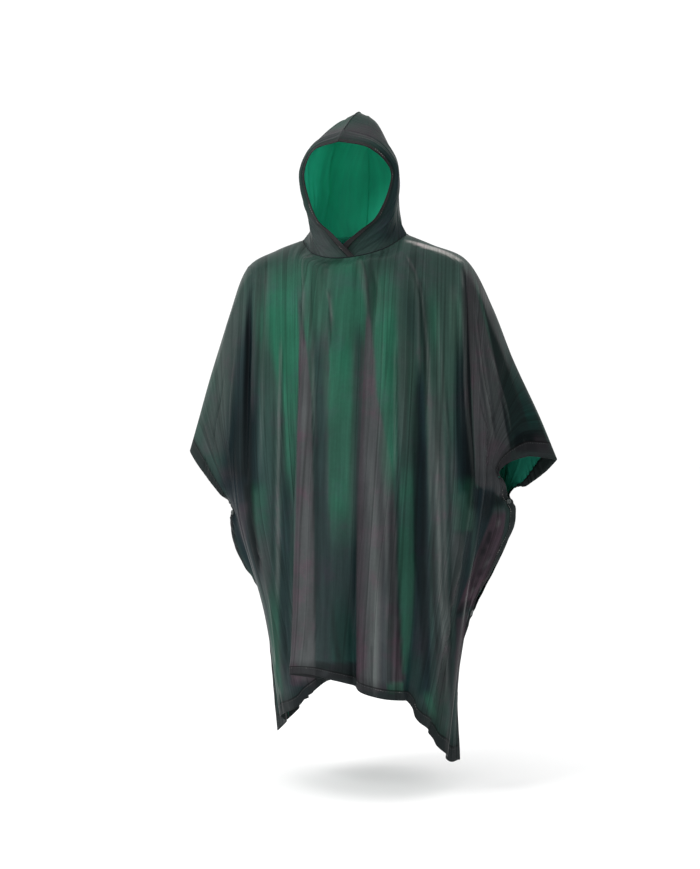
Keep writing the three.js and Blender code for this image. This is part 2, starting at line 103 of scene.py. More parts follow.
front_pleats = [
    dict(across=-0.044, width=0.078, lean=-0.084, stands=0.06, at_top=0.16),
    dict(across=0.043, width=0.084, lean=-0.04, stands=0.054, at_top=0.16, drift=0.061),
    dict(across=0.205, width=0.06, lean=-0.016, stands=0.016, at_top=0.25),
    dict(across=0.33, width=0.08, lean=-0.012, stands=0.018, at_top=0.25),
    dict(across=-0.205, width=0.07, lean=0.014, stands=0.018, at_top=0.25),
    dict(across=-0.36, width=0.09, lean=-0.01, stands=0.02, at_top=0.15),
]
edge_loops = {
    -1: [
        dict(down=0.5, side=0.0),
        dict(down=0.57, side=-0.022),
        dict(down=0.66, side=-0.036),
        dict(down=0.72, side=-0.024),
        dict(down=0.76, side=-0.003),
        dict(down=0.8, side=0.0),
        dict(down=1, side=0.0),
    ],
    1: [
        dict(down=0.5, side=0.0),
        dict(down=0.55, side=0.026),
        dict(down=0.6, side=0.034),
        dict(down=0.68, side=0.022),
        dict(down=0.76, side=0.0),
        dict(down=0.88, side=-0.014),
        dict(down=1, side=0.0),
    ],
}
loop_fade = 0.17
pleat_shape = [
    dict(along=-1.5, side=0, out=0),
    dict(along=-0.75, side=-0.1, out=0.05),
    dict(along=-0.55, side=-0.13, out=0.16),
    dict(along=-0.42, side=-0.06, out=0.3),
    dict(along=-0.3, side=0.12, out=0.42),
    dict(along=-0.14, side=0.52, out=0.56),
    dict(along=0, side=0.86, out=0.68),
    dict(along=0.1, side=1.02, out=0.83),
    dict(along=0.22, side=1.11, out=1),
    dict(along=0.34, side=1.06, out=1.1),
    dict(along=0.5, side=0.82, out=1.15),
    dict(along=0.75, side=0.4, out=1.05),
    dict(along=0.98, side=0.06, out=0.62),
    dict(along=1.2, side=-0.04, out=0.12),
    dict(along=1.6, side=0, out=0),
]

def crease(width, height, *path):
    """A small fold, its sizes in millimetres and its way as places across and down the sheet."""
    return dict(width=width / 1000, height=height / 1000, path=path)


def stroke(tone, strength, soft, fade, *line):
    """A brushed tone, most often painted light and shade, in millimetres: each place of its line is across, up
    and half as wide.
    """
    sizes = dict(soft=np.array(soft) / 1000, fade=np.array(fade) / 1000, line=np.array(line) / 1000)
    return dict(tone=tone, strength=strength, **sizes)


# Small folds of the front: how wide each is and how far it stands out, and the way it runs. A
# minus height is a trough.
front_folds = [
    crease(6, 5, (-0.061, 0.031), (-0.042, 0.101), (-0.036, 0.171)),
    crease(5, -3, (-0.033, 0.041), (-0.026, 0.115), (-0.017, 0.188)),
    crease(4, 3.5, (-0.005, 0.083), (0.001, 0.113), (0.005, 0.18)),
    crease(4, -2.5, (-0.01, 0.074), (-0.004, 0.113), (-0.002, 0.168)),
    crease(5, 4.5, (0.029, 0.025), (0.036, 0.073), (0.048, 0.153)),
    crease(5, -3, (0.046, 0.05), (0.058, 0.105), (0.059, 0.155)),
    crease(5, 4.5, (0.106, 0.064), (0.123, 0.098), (0.131, 0.131), (0.133, 0.196), (0.139, 0.264)),
    crease(6, -3.5, (0.117, 0.065), (0.142, 0.106), (0.149, 0.163), (0.151, 0.264)),
    crease(5, 4, (0.171, 0.11), (0.177, 0.191), (0.187, 0.297), (0.202, 0.419)),
    crease(6, -3, (0.162, 0.129), (0.168, 0.227), (0.175, 0.385)),
    crease(8, 5, (0.161, 0.263), (0.171, 0.409), (0.183, 0.559), (0.215, 0.716), (0.336, 0.892)),
    crease(12, -7, (0.133, 0.265), (0.142, 0.433), (0.151, 0.645), (0.181, 0.844)),
    crease(7, 6, (0.228, 0.026), (0.233, 0.135), (0.237, 0.243), (0.247, 0.348), (0.255, 0.462)),
    crease(9, -7, (0.214, 0.11), (0.222, 0.212), (0.224, 0.354), (0.23, 0.477)),
    crease(7, -3.5, (0.265, 0.074), (0.306, 0.144), (0.38, 0.204), (0.498, 0.242)),
    crease(8, 5, (0.315, 0.091), (0.403, 0.125), (0.563, 0.123)),
    crease(5, -3, (0.299, 0.234), (0.368, 0.269), (0.452, 0.31)),
    crease(5, 3, (0.535, 0.362), (0.366, 0.354), (0.35, 0.307)),
    crease(9, -8, (-0.224, 0.078), (-0.222, 0.191), (-0.225, 0.33), (-0.231, 0.464)),
    crease(8, 4, (-0.205, 0.088), (-0.202, 0.199), (-0.205, 0.337)),
    crease(10, 4, (-0.266, 0.144), (-0.296, 0.248), (-0.322, 0.344)),
    crease(8, -3, (-0.355, 0.145), (-0.456, 0.15), (-0.526, 0.183)),
    crease(7, 3.5, (-0.18, 0.168), (-0.178, 0.299), (-0.192, 0.473)),
    crease(5, -2.5, (-0.167, 0.115), (-0.167, 0.223), (-0.174, 0.407)),
    crease(4, 2.5, (-0.145, 0.198), (-0.14, 0.342), (-0.155, 0.569)),
    crease(4, -2, (-0.13, 0.208), (-0.131, 0.367), (-0.142, 0.571)),
    crease(4, 2, (-0.111, 0.264), (-0.115, 0.388)),
    crease(3, 2, (-0.233, 0.01), (-0.202, 0.049)),
    crease(3, -1.8, (-0.23, 0.035), (-0.183, 0.065)),
    crease(3, 1.8, (-0.22, 0.059), (-0.183, 0.078)),
    crease(3, -1.4, (-0.224, 0.074), (-0.193, 0.088)),
    crease(4, 2.5, (-0.181, 0.039), (-0.177, 0.114), (-0.177, 0.168)),
    crease(6, -3, (-0.008, 0.304), (-0.001, 0.477), (0.001, 0.652), (0.001, 0.879)),
    crease(7, 2.5, (-0.001, 0.263), (0.007, 0.432), (0.012, 0.606)),
    crease(8, -2, (0.02, 0.345), (0.026, 0.522), (0.027, 0.655)),
    crease(6, 2.2, (0.027, 0.225), (0.033, 0.432), (0.036, 0.655), (0.049, 0.875)),
    crease(5, 4, (0.111, 0.652), (0.109, 0.763), (0.108, 0.98)),
    crease(5, -3.5, (0.114, 0.701), (0.12, 0.844), (0.124, 0.932)),
    crease(5, 3, (0.167, 0.643), (0.209, 0.824)),
    crease(5, -3, (0.234, 0.708), (0.337, 0.841)),
    crease(6, 2.5, (0.08, 0.454), (0.093, 0.648), (0.101, 0.849)),
    crease(6, -2, (0.067, 0.521), (0.077, 0.702), (0.083, 0.857)),
    crease(7, 3, (-0.206, 0.516), (-0.217, 0.643), (-0.228, 0.78)),
    crease(6, -3, (-0.227, 0.552), (-0.239, 0.663)),
    crease(4, 2.5, (-0.23, 0.616), (-0.215, 0.638)),
    crease(4, -2.5, (-0.242, 0.632), (-0.215, 0.658)),
    crease(6, 3, (-0.221, 0.737), (-0.256, 0.874), (-0.302, 0.987)),
    crease(6, -3, (-0.187, 0.772), (-0.228, 0.927)),
    crease(6, 2.5, (0.214, 0.454), (0.227, 0.597), (0.294, 0.717)),
    crease(6, -2.5, (0.196, 0.456), (0.218, 0.598)),
    crease(6, 2, (0.081, 0.21), (0.09, 0.344), (0.105, 0.522)),
    crease(6, 2, (0.101, 0.178), (0.111, 0.344), (0.118, 0.522)),
    crease(6, -2, (0.093, 0.16), (0.099, 0.303), (0.106, 0.454)),
]
# Tones of the front, brushed on one after another, most of them painted light and shade: the film
# is grey where it lies doubled and, as a painted sheen, where it catches the light; plum where it
# lies doubled and crumpled, partly a painted sheen; pale lines are painted highlights, green is
# painted light coming through it, and the dark strokes are painted shade in its hollows. Each line
# runs down the front as seen from a little to the wearer's left, with how soft its two sides are
# and how it fades at its ends.
front_painted_light_and_tones = [
    stroke("grey", 0.45, (29, 41), (124, 29), (-256, -135, 20.6), (-276, -300, 28.8), (-309, -454, 33)),
    stroke("navy_shade", 0.8, (33, 16), (124, 16), (-239, -197, 10.3), (-248, -341, 18.5), (-264, -485, 26.8),
           (-268, -530, 28.8)),
    stroke("plum", 0.5, (16, 16), (29, 29), (-276, -485, 20.6), (-248, -547, 24.7), (-256, -609, 16.5)),
    stroke("navy_shade", 0.8, (16, 25), (144, 21), (-225, -114, 6.2), (-223, -259, 12.4), (-221, -403, 16.5),
           (-223, -530, 18.5)),
    stroke("deep", 1, (10, 21), (95, 16), (-229, -147, 4.5), (-228, -238, 8.2), (-228, -331, 10.3),
           (-229, -423, 12.4), (-231, -533, 13.4)),
    stroke("deep", 0.7, (29, 12), (124, 21), (-243, -341, 14.4), (-252, -444, 18.5), (-256, -526, 20.6)),
    stroke("grey", 0.35, (5, 5), (33, 62), (-190, -69, 4.1), (-188, -135, 4.1), (-190, -228, 4.1)),
    stroke("navy_shade", 0.2, (16, 16), (124, 82), (-194, -259, 14.4), (-194, -423, 16.5), (-192, -526, 14.4)),
    stroke("green", 0.35, (25, 25), (82, 82), (-194, -135, 20.6), (-194, -228, 16.5)),
    stroke("green", 0.45, (41, 33), (82, 41), (-149, -57, 37.1), (-149, -135, 35)),
    stroke("green", 0.8, (21, 6), (95, 124), (-157, -114, 35), (-149, -228, 30.9), (-138, -333, 18.5)),
    stroke("green", 0.45, (8, 6), (82, 103), (-138, -300, 16.5), (-136, -423, 12.4), (-136, -520, 10.3)),
    stroke("pale", 0.4, (5, 5), (62, 82), (-157, -228, 2.5), (-161, -382, 2.5), (-163, -526, 2.9),
           (-163, -671, 4.1), (-165, -753, 4.1)),
    stroke("deep", 0.5, (4, 5), (62, 62), (-152, -228, 2.1), (-155, -382, 2.1), (-157, -526, 2.5)),
    stroke("deep", 0.4, (5, 5), (62, 62), (-171, -331, 2.1), (-173, -506, 2.5), (-175, -671, 3.1)),
    stroke("grey", 0.9, (3, 5), (49, 4), (-112, -180, 3.1), (-110, -238, 8.2), (-105, -331, 13.6),
           (-105, -479, 16.5), (-105, -588, 19.6), (-108, -732, 23.7), (-111, -938, 27.8)),
    stroke("pale", 0.12, (10, 10), (82, 21), (-105, -341, 5.2), (-105, -479, 6.2), (-105, -671, 10.3),
           (-105, -897, 12.4)),
    stroke("plum", 0.5, (3, 6), (62, 4), (-114, -238, 2.5), (-117, -331, 3.3), (-118, -485, 4.1),
           (-120, -629, 4.1), (-125, -753, 4.9), (-131, -938, 5.4)),
    stroke("deep", 0.55, (3, 4), (62, 21), (-90, -331, 1.6), (-87, -479, 1.9), (-85, -671, 2.1),
           (-82, -918, 2.1)),
    stroke("deep", 0.45, (6, 6), (29, 21), (-116, -135, 2.5), (-110, -176, 3.3), (-107, -228, 2.1)),
    stroke("pale", 0.25, (5, 4), (62, 62), (-90, -238, 3.1), (-87, -331, 3.3), (-82, -423, 2.5)),
    stroke("navy_shade", 0.55, (6, 12), (82, 8), (-79, -228, 6.2), (-74, -382, 12.4), (-72, -547, 13.4),
           (-70, -671, 13.4), (-70, -901, 12.4)),
    stroke("deep", 0.35, (4, 8), (82, 124), (-81, -341, 2.5), (-79, -547, 2.9), (-78, -753, 3.3)),
    stroke("teal_shade", 0.25, (21, 16), (62, 82), (-83, -197, 12.4), (-74, -300, 16.5)),
    stroke("green", 0.35, (33, 21), (62, 62), (-95, -57, 28.8), (-83, -135, 24.7), (-83, -197, 20.6)),
    stroke("green", 0.35, (8, 8), (33, 41), (-103, -176, 6.2), (-97, -228, 6.2)),
    stroke("green", 0.55, (33, 21), (62, 82), (-21, -48, 37.1), (-17, -135, 37.1), (-15, -207, 35)),
    stroke("green", 0.8, (5, 33), (82, 144), (-31, -213, 24.7), (-31, -333, 22.7)),
    stroke("green", 0.45, (6, 29), (82, 124), (-29, -320, 28.8), (-29, -423, 26.8), (-31, -547, 24.7),
           (-29, -609, 22.7)),
    stroke("green", 0.3, (16, 16), (29, 62), (-35, -506, 12.4), (-37, -568, 12.4)),
    stroke("grey", 0.3, (16, 6), (62, 82), (-2, -228, 4.1), (-2, -341, 6.2), (-4, -485, 8.2),
           (-4, -609, 6.2)),
    stroke("navy_shade", 0.35, (12, 4), (62, 124), (4, -197, 6.2), (4, -300, 7.2), (2, -485, 6.2),
           (-4, -753, 6.2)),
    stroke("deep", 0.55, (4, 5), (12, 49), (-56, -118, 2.1), (-53, -176, 2.9), (-52, -228, 2.1)),
    stroke("pale", 0.3, (5, 5), (12, 25), (-61, -118, 2.1), (-56, -135, 2.1), (-49, -176, 2.1)),
    stroke("navy_shade", 0.5, (16, 12), (124, 8), (-29, -629, 33), (-29, -753, 33), (-27, -893, 33)),
    stroke("teal_shade", 0.75, (21, 16), (103, 16), (-33, -753, 16.5), (-27, -835, 24.7), (-25, -877, 26.8)),
    stroke("deep", 0.5, (8, 10), (62, 16), (-50, -753, 4.1), (-42, -835, 5.2), (-33, -877, 6.2)),
    stroke("deep", 0.75, (4, 4), (6, 4), (-39, -874, 45.3), (-39, -907, 45.3)),
    stroke("pale", 0.25, (5, 5), (12, 16), (10, -57, 2.1), (16, -75, 2.5), (22, -110, 2.1)),
    stroke("deep", 0.5, (4, 5), (16, 16), (14, -57, 2.1), (21, -94, 2.5), (25, -135, 3.1), (26, -180, 3.3)),
    stroke("grey", 0.85, (3, 6), (29, 4), (24, -172, 4.1), (27, -259, 11.3), (27, -331, 14.4),
           (39, -479, 33), (41, -609, 39.1), (41, -753, 40.4), (47, -926, 46.6)),
    stroke("green", 0.3, (19, 10), (103, 82), (59, -423, 14.4), (66, -526, 10.3)),
    stroke("pale", 0.3, (16, 16), (124, 12), (29, -465, 6.2), (37, -609, 8.2), (35, -753, 10.3),
           (33, -926, 10.3)),
    stroke("navy_shade", 0.45, (10, 8), (103, 6), (59, -671, 6.2), (59, -794, 8.2), (59, -926, 10.3)),
    stroke("pale", 0.4, (6, 6), (103, 8), (39, -671, 2.5), (39, -794, 3.1), (37, -938, 3.7)),
    stroke("plum", 0.45, (3, 10), (41, 8), (14, -228, 4.1), (11, -331, 6.2), (8, -479, 7.2), (8, -671, 8.2),
           (8, -909, 8.2)),
    stroke("deep", 0.5, (8, 6), (103, 12), (71, -485, 3.3), (70, -629, 4.5), (68, -753, 6.2),
           (66, -835, 6.2), (68, -909, 4.1)),
    stroke("plum", 0.7, (5, 3), (54, 4), (82, -753, 4.1), (84, -835, 9.3), (86, -905, 12.4)),
    stroke("pale", 0.25, (6, 6), (62, 82), (57, -506, 2.1), (61, -671, 2.9), (59, -794, 2.9)),
    stroke("deep", 0.4, (5, 5), (21, 4), (31, -835, 2.1), (27, -926, 2.5)),
    stroke("green", 0.4, (29, 33), (62, 62), (53, -73, 20.6), (57, -135, 24.7)),
    stroke("green", 0.68, (16, 16), (95, 103), (57, -145, 22.7), (59, -228, 22.7), (61, -333, 19.6)),
    stroke("green", 0.42, (16, 4), (82, 103), (66, -320, 16.5), (70, -423, 12.4), (73, -485, 8.2)),
    stroke("deep", 0.5, (4, 4), (62, 4), (82, -238, 1.6), (82, -382, 2.1), (83, -485, 2.5), (83, -671, 2.9),
           (84, -763, 2.9), (92, -877, 2.5), (95, -926, 2.5)),
    stroke("pale", 0.2, (5, 4), (62, 62), (77, -238, 2.1), (77, -382, 2.1), (77, -485, 2.1)),
    stroke("grey", 0.25, (10, 10), (82, 82), (94, -228, 8.2), (94, -331, 8.2), (93, -423, 8.2)),
    stroke("green", 0.4, (10, 10), (103, 16), (101, -485, 14.4), (101, -671, 16.5), (103, -835, 12.4),
           (101, -893, 8.2)),
    stroke("green", 0.45, (4, 4), (6, 4), (78, -909, 16.5), (78, -930, 16.5)),
    stroke("navy_shade", 0.35, (21, 12), (82, 62), (111, -135, 16.5), (123, -228, 14.4)),
    stroke("navy_shade", 0.85, (14, 8), (95, 29), (129, -279, 8.2), (132, -403, 9.3), (132, -547, 13.4),
           (134, -691, 14.4), (129, -835, 20.6), (123, -938, 26.8)),
    stroke("deep", 0.5, (10, 8), (103, 41), (134, -423, 5.2), (136, -588, 6.2), (138, -753, 7.2),
           (140, -897, 8.2)),
    stroke("teal_shade", 0.5, (16, 16), (49, 21), (113, -856, 14.4), (115, -938, 18.5)),
    stroke("pale", 0.35, (5, 5), (12, 29), (104, -48, 2.1), (121, -79, 2.5), (127, -114, 2.1)),
    stroke("pale", 0.4, (6, 6), (41, 103), (132, -114, 2.1), (140, -186, 2.5), (146, -259, 2.9),
           (148, -403, 3.1), (150, -547, 3.3)),
    stroke("deep", 0.55, (6, 5), (29, 124), (127, -104, 2.5), (134, -176, 4.1), (138, -238, 4.1),
           (142, -341, 3.3)),
    stroke("grey", 0.4, (8, 10), (124, 62), (160, -341, 12.4), (164, -485, 14.4), (169, -671, 16.5),
           (175, -835, 16.5), (183, -959, 14.4)),
    stroke("pale", 0.45, (6, 6), (124, 103), (163, -423, 2.7), (164, -547, 3.3), (169, -712, 3.7),
           (179, -856, 4.1)),
    stroke("pale", 0.3, (6, 6), (124, 62), (175, -423, 2.5), (177, -588, 3.1), (181, -753, 3.3),
           (185, -959, 3.7)),
    stroke("deep", 0.5, (6, 5), (82, 82), (153, -485, 2.5), (154, -629, 3.1), (158, -753, 3.3),
           (164, -856, 3.3)),
    stroke("deep", 0.5, (5, 4), (82, 62), (183, -331, 2.5), (186, -430, 2.7), (188, -547, 2.7),
           (190, -671, 2.5), (194, -794, 2.9)),
    stroke("deep", 0.35, (6, 6), (62, 62), (170, -197, 2.5), (175, -341, 2.5)),
    stroke("green", 0.4, (16, 12), (82, 82), (158, -135, 10.3), (160, -238, 8.2)),
    stroke("green", 0.35, (16, 16), (49, 103), (202, -135, 12.4), (202, -228, 10.3)),
    stroke("pale", 0.22, (16, 16), (41, 103), (199, -114, 8.2), (199, -228, 8.2)),
    stroke("navy_shade", 0.75, (16, 4), (124, 21), (212, -238, 10.3), (213, -382, 14.4), (214, -530, 18.5)),
    stroke("deep", 1, (12, 3), (29, 16), (221, -69, 4.5), (223, -197, 6.6), (222, -331, 10.3),
           (224, -423, 12.4), (228, -524, 14.4)),
    stroke("pale", 0.35, (5, 4), (8, 16), (217, -75, 1.9), (218, -110, 1.9)),
    stroke("grey", 0.35, (8, 8), (62, 16), (195, -444, 6.2), (197, -530, 7.2)),
    stroke("plum", 0.6, (3, 6), (29, 2), (232, -77, 6.2), (246, -186, 18.5), (259, -265, 28.8),
           (272, -362, 35), (278, -440, 39.1), (278, -514, 37.1), (292, -528, 18.5), (307, -543, 2.1)),
    stroke("grey", 0.5, (3, 16), (33, 21), (232, -83, 5.2), (243, -197, 12.4), (251, -308, 18.5),
           (261, -425, 24.7), (272, -485, 26.8)),
    stroke("deep", 0.45, (6, 6), (62, 62), (241, -191, 2.1), (255, -308, 2.9), (270, -392, 3.3)),
    stroke("deep", 0.35, (6, 6), (62, 41), (263, -238, 2.1), (276, -341, 2.7), (284, -403, 2.7)),
    stroke("pale", 0.2, (8, 8), (62, 41), (249, -217, 3.1), (267, -341, 4.1), (278, -417, 4.1)),
    stroke("deep", 0.85, (4, 4), (16, 16), (249, -77, 4.1), (257, -96, 6.2), (270, -137, 10.3),
           (284, -186, 14.4), (309, -265, 24.7), (327, -331, 31.9), (348, -403, 41.2), (358, -444, 41.2)),
    stroke("teal_shade", 0.5, (8, 6), (41, 41), (288, -176, 4.1), (321, -265, 8.2), (350, -341, 12.4),
           (368, -392, 12.4)),
    stroke("deep", 0.8, (8, 12), (12, 6), (350, -407, 24.7), (350, -448, 24.7)),
    # A painted highlight along the top of the shoulder on the wearer's left.
    stroke("painted_highlight", 0.85, (12, 12), (6, 6), (111, -11, 8.2), (152, -24, 16.5), (189, -38, 12.4),
           (218, -53, 4.1)),
    stroke("plum", 0.4, (12, 8), (21, 12), (379, -415, 14.4), (391, -456, 16.5)),
    stroke("deep", 0.85, (12, 4), (10, 21), (228, -518, 16.5), (251, -530, 28.8), (263, -545, 41.2),
           (267, -563, 41.2)),
    stroke("navy_shade", 0.8, (21, 12), (33, 41), (-256, -506, 28.8), (-248, -598, 28.8), (-227, -671, 24.7),
           (-206, -722, 12.4)),
    stroke("deep", 0.9, (8, 8), (16, 29), (-227, -514, 12.4), (-223, -588, 10.3), (-215, -650, 8.2),
           (-202, -701, 6.2)),
    stroke("plum", 0.5, (10, 10), (21, 21), (-239, -557, 10.3), (-243, -598, 10.3), (-239, -640, 8.2)),
    stroke("deep", 0.5, (8, 8), (21, 29), (-215, -619, 4.1), (-208, -660, 6.2), (-206, -695, 4.1)),
    stroke("green", 0.25, (12, 16), (41, 82), (-204, -518, 16.5), (-200, -609, 14.4)),
    stroke("grey", 0.45, (12, 12), (49, 49), (-192, -629, 12.4), (-190, -712, 10.3), (-186, -753, 6.2)),
    stroke("green", 0.4, (10, 12), (103, 62), (-173, -753, 12.4), (-169, -877, 10.3), (-163, -959, 10.3)),
    stroke("navy_shade", 0.5, (8, 4), (82, 41), (-145, -506, 8.2), (-147, -629, 10.3), (-151, -794, 11.3),
           (-147, -938, 12.4)),
    stroke("navy_shade", 0.5, (16, 16), (12, 21), (-116, -926, 37.1), (-124, -984, 33)),
    stroke("green", 0.2, (12, 12), (29, 4), (216, -502, 22.7), (216, -605, 20.6)),
    stroke("grey", 0.4, (8, 8), (4, 62), (206, -611, 12.4), (204, -691, 12.4), (199, -753, 6.2)),
    stroke("navy_shade", 0.7, (6, 8), (6, 49), (228, -609, 8.2), (222, -691, 10.3), (212, -774, 8.2),
           (208, -835, 4.1)),
    stroke("navy_shade", 0.85, (16, 16), (21, 49), (259, -522, 24.7), (263, -588, 18.5), (255, -640, 12.4),
           (247, -701, 6.2)),
    stroke("deep", 0.7, (16, 12), (16, 33), (276, -530, 14.4), (267, -588, 10.3)),
    stroke("plum", 1, (6, 6), (25, 16), (298, -572, 14.4), (280, -640, 22.7), (249, -722, 24.7),
           (226, -774, 20.6)),
    stroke("deep", 0.5, (12, 10), (16, 16), (274, -619, 3.1), (263, -650, 6.2), (249, -701, 4.1),
           (235, -732, 6.2)),
    stroke("deep", 0.75, (10, 10), (10, 10), (228, -757, 14.4), (218, -782, 16.5)),
    stroke("deep", 0.6, (6, 6), (8, 8), (278, -611, 5.2), (274, -640, 4.1)),
    stroke("deep", 0.5, (6, 6), (8, 8), (265, -648, 6.2), (263, -662, 5.2)),
    stroke("deep", 0.45, (6, 6), (12, 12), (280, -662, 3.1), (267, -695, 4.1)),
    stroke("deep", 0.5, (8, 8), (8, 8), (261, -695, 8.2), (257, -708, 6.2)),
    stroke("deep", 0.4, (6, 6), (8, 8), (251, -720, 4.1), (239, -741, 6.2)),
    stroke("pale", 0.3, (6, 6), (8, 8), (296, -588, 5.2), (292, -605, 4.1)),
    stroke("pale", 0.22, (6, 6), (12, 12), (278, -671, 4.1), (267, -687, 4.1)),
    stroke("pale", 0.25, (6, 6), (8, 8), (247, -732, 4.1), (241, -745, 4.1)),
    stroke("pale", 0.25, (4, 4), (16, 16), (226, -798, 2.5), (220, -846, 2.5)),
    stroke("deep", 0.5, (4, 4), (16, 16), (218, -794, 2.5), (212, -846, 2.5)),
    stroke("plum", 0.75, (8, 6), (12, 82), (220, -786, 14.4), (216, -856, 11.3), (208, -938, 8.2)),
    stroke("deep", 0.25, (8, 6), (12, 82), (218, -786, 16.5), (212, -856, 14.4), (206, -938, 10.3)),
    stroke("green", 0.2, (16, 16), (49, 29), (173, -926, 20.6), (177, -1031, 18.5)),
    stroke("grey", 0.3, (16, 16), (49, 29), (181, -897, 16.5), (187, -1031, 16.5)),
    stroke("grey", 0.3, (12, 12), (49, 62), (197, -547, 12.4), (199, -671, 12.4)),
    stroke("green", 0.4, (8, 8), (29, 29), (144, -938, 8.2), (158, -990, 8.2)),
    stroke("deep", 0.4, (6, 6), (41, 29), (191, -856, 3.1), (197, -959, 3.1), (199, -1031, 3.1)),
]


def column(rows, name):
    return np.array([row[name] for row in rows], dtype=float)


def ramp(start, end, x):
    """A smooth rise from 0 at start to 1 at end."""
    t = np.clip((np.asarray(x) - start) / (end - start), 0, 1)
    return t * t * (3 - 2 * t)


def smooth(knots, values, x):
    """A smooth curve through the values at the knots, straight past its ends."""
    knots = np.asarray(knots, dtype=float)
    values = np.asarray(values, dtype=float)
    last = len(knots) - 1
    i = np.searchsorted(knots[1:last], x, side="left")
    spread = (slice(None),) + (None,) * (values.ndim - 1)
    rises = np.diff(values, axis=0) / np.diff(knots)[spread]
    middle = (values[2:] - values[:-2]) / (knots[2:] - knots[:-2])[spread]
    slopes_from = np.concatenate([rises[:1], middle])
    slopes_to = np.concatenate([middle, rises[-1:]])

    def pick(table, k):
        return table[k] if values.ndim < 3 else table[k, np.arange(len(k))]

    def fit(number):
        return number[:, None] if values.ndim > 1 else number

    step = fit(np.diff(knots)[i])
    t = fit((x - knots[i])) / step
    start, end, rise = pick(values, i), pick(values, i + 1), pick(rises, i)
    bend = t * (1 - t) * ((1 - t) * (pick(slopes_from, i) - rise) - t * (pick(slopes_to, i) - rise))
    curve = start + rise * step * t + bend * step
    return np.where(t < 0, start + rise * step * t, np.where(t > 1, end + rise * step * (t - 1), curve))


def on_rows(rows, across):
    return smooth(column(rows, "across"), column(rows, "at"), across)


def pleat_shift(pleats, across, down):
    """How far the pleats carry the cloth sideways and out from its plain fall."""
    side = np.zeros(len(across))
    out = np.zeros(len(across))
    knots = column(pleat_shape, "along")
    for pleat in pleats:
        along = np.sign(-pleat["lean"]) * (across - pleat["across"]) / pleat["width"]
        within = (along > knots[0]) & (along < knots[-1])
        grown = ramp(0, levels["turn"], down) * (pleat["at_top"] + (1 - pleat["at_top"]) * down) * within
        side += pleat["lean"] * grown * smooth(knots, column(pleat_shape, "side"), along)
        out += pleat["stands"] * grown * smooth(knots, column(pleat_shape, "out"), along)
    return side, out


drift_reach = 0.15


def drifted(pleats, column, down):
    """How far the pleats have drifted across the cloth at each column."""
    shift = np.zeros(len(column))
    for pleat in pleats:
        near = np.clip(1 - ((column - pleat["across"]) / drift_reach) ** 2, 0, None) ** 2
        shift += pleat.get("drift", 0) * near * down**3
    return shift


def edge_shift(across, down):
    """The side edges swing outwards between the snaps."""
    shift = np.zeros(len(across))
    for side, rows in edge_loops.items():
        knots = column(rows, "down")
        near = ramp(tip_across - loop_fade, tip_across, side * across)
        within = (down > knots[0]) & (down < knots[-1])
        shift += near * within * smooth(knots, column(rows, "side"), down)
    return shift


def hanging(panel, across, down):
    """The plain fall of a panel, from the shoulder fold or the neck seam to the hem."""
    lines = panel["lines"]
    points = [smooth(column(lines, "across"), column(lines, level), across) for level in levels]
    start = on_rows(panel["neck"], across)
    left = across <= -neck_side
    right = across >= neck_side
    start[left] = on_rows(ridge_left, across[left])
    start[right] = on_rows(ridge_right, across[right])
    turn = points[0]
    free = 1 - ramp(neck_side * 0.7, neck_side, np.abs(across))[:, None]
    level = np.stack([turn[:, 0], 2 * start[:, 1] - turn[:, 1], turn[:, 2]], axis=1)
    before = level + (2 * start - turn - level) * free
    return smooth(level_knots, np.stack([before, start, *points]), down)


run_step = 0.04


def pleated(panel, column, down):
    """The fall with its pleats, laid along the cloth's own level run and out square to it."""
    across = column + drifted(panel["pleats"], column, down)
    point = hanging(panel, across, down)
    point[:, 0] += edge_shift(across, down)
    side, out = pleat_shift(panel["pleats"], column, down)
    run = hanging(panel, across + run_step, down) - hanging(panel, across - run_step, down)
    run[:, 2] = 0
    run /= np.linalg.norm(run, axis=1)[:, None]
    facing_out = np.stack([run[:, 1], -run[:, 0], 0 * out], axis=1) * -panel["facing"]
    return point + run * side[:, None] + facing_out * out[:, None]


probe = 0.001


def square_to(panel, across, down):
    """The direction square to a panel, outwards."""
    a = np.clip(across, -tip_across + probe, tip_across - probe)
    d = np.clip(down, 2 * probe, 1 - 2 * probe)
    along_a = pleated(panel, a + probe, d) - pleated(panel, a - probe, d)
    along_d = pleated(panel, a, d + probe) - pleated(panel, a, d - probe)
    normal = np.cross(along_a, along_d) * panel["facing"]
    return normal / np.linalg.norm(normal, axis=1)[:, None]


def way_along(path, place):
    """For each place: how far it is from a path, and how far along the path that is."""
    path = np.array(path, dtype=float)
    lengths = np.linalg.norm(np.diff(path, axis=0), axis=1)
    gap = np.full(len(place), np.inf)
    along = np.zeros(len(place))
    before = 0.0
    for start, end, length in zip(path[:-1], path[1:], lengths):
        way = end - start
        t = np.clip((place - start) @ way / (way @ way), 0, 1)
        here = np.linalg.norm(place - start - t[:, None] * way, axis=1)
        along = np.where(here < gap, before + t * length, along)
        gap = np.minimum(gap, here)
        before += length
    return gap, along / before


def relief(folds, share, size):
    """The height of the small folds at each place on a cut of the given size."""
    height = np.zeros(len(share))
    place = share * size
    for fold in folds:
        gap, along = way_along(np.array(fold["path"]) * size, place)
        ends = np.sin(np.pi * (0.06 + 0.88 * along)) ** 0.6
        height += fold["height"] * np.exp(-((gap / fold["width"]) ** 2)) * ends
    return height


def faint_falls(seed, count):
    """Faint falls all over a panel, none alike."""
    chance = np.random.default_rng(seed)
    rows = []
    for _ in range(count):
        across = chance.uniform(-0.6, 0.6)
        top = chance.uniform(0.02, 0.6)
        foot = min(top + chance.uniform(0.15, 0.5), 0.98)
        slant = chance.uniform(-0.015, 0.015)
        height = chance.choice([-1, 1]) * chance.uniform(0.0006, 0.0018)
        path = [(across, top), (across + slant, foot)]
        rows.append(dict(path=path, width=chance.uniform(0.005, 0.01), height=height))
    return rows


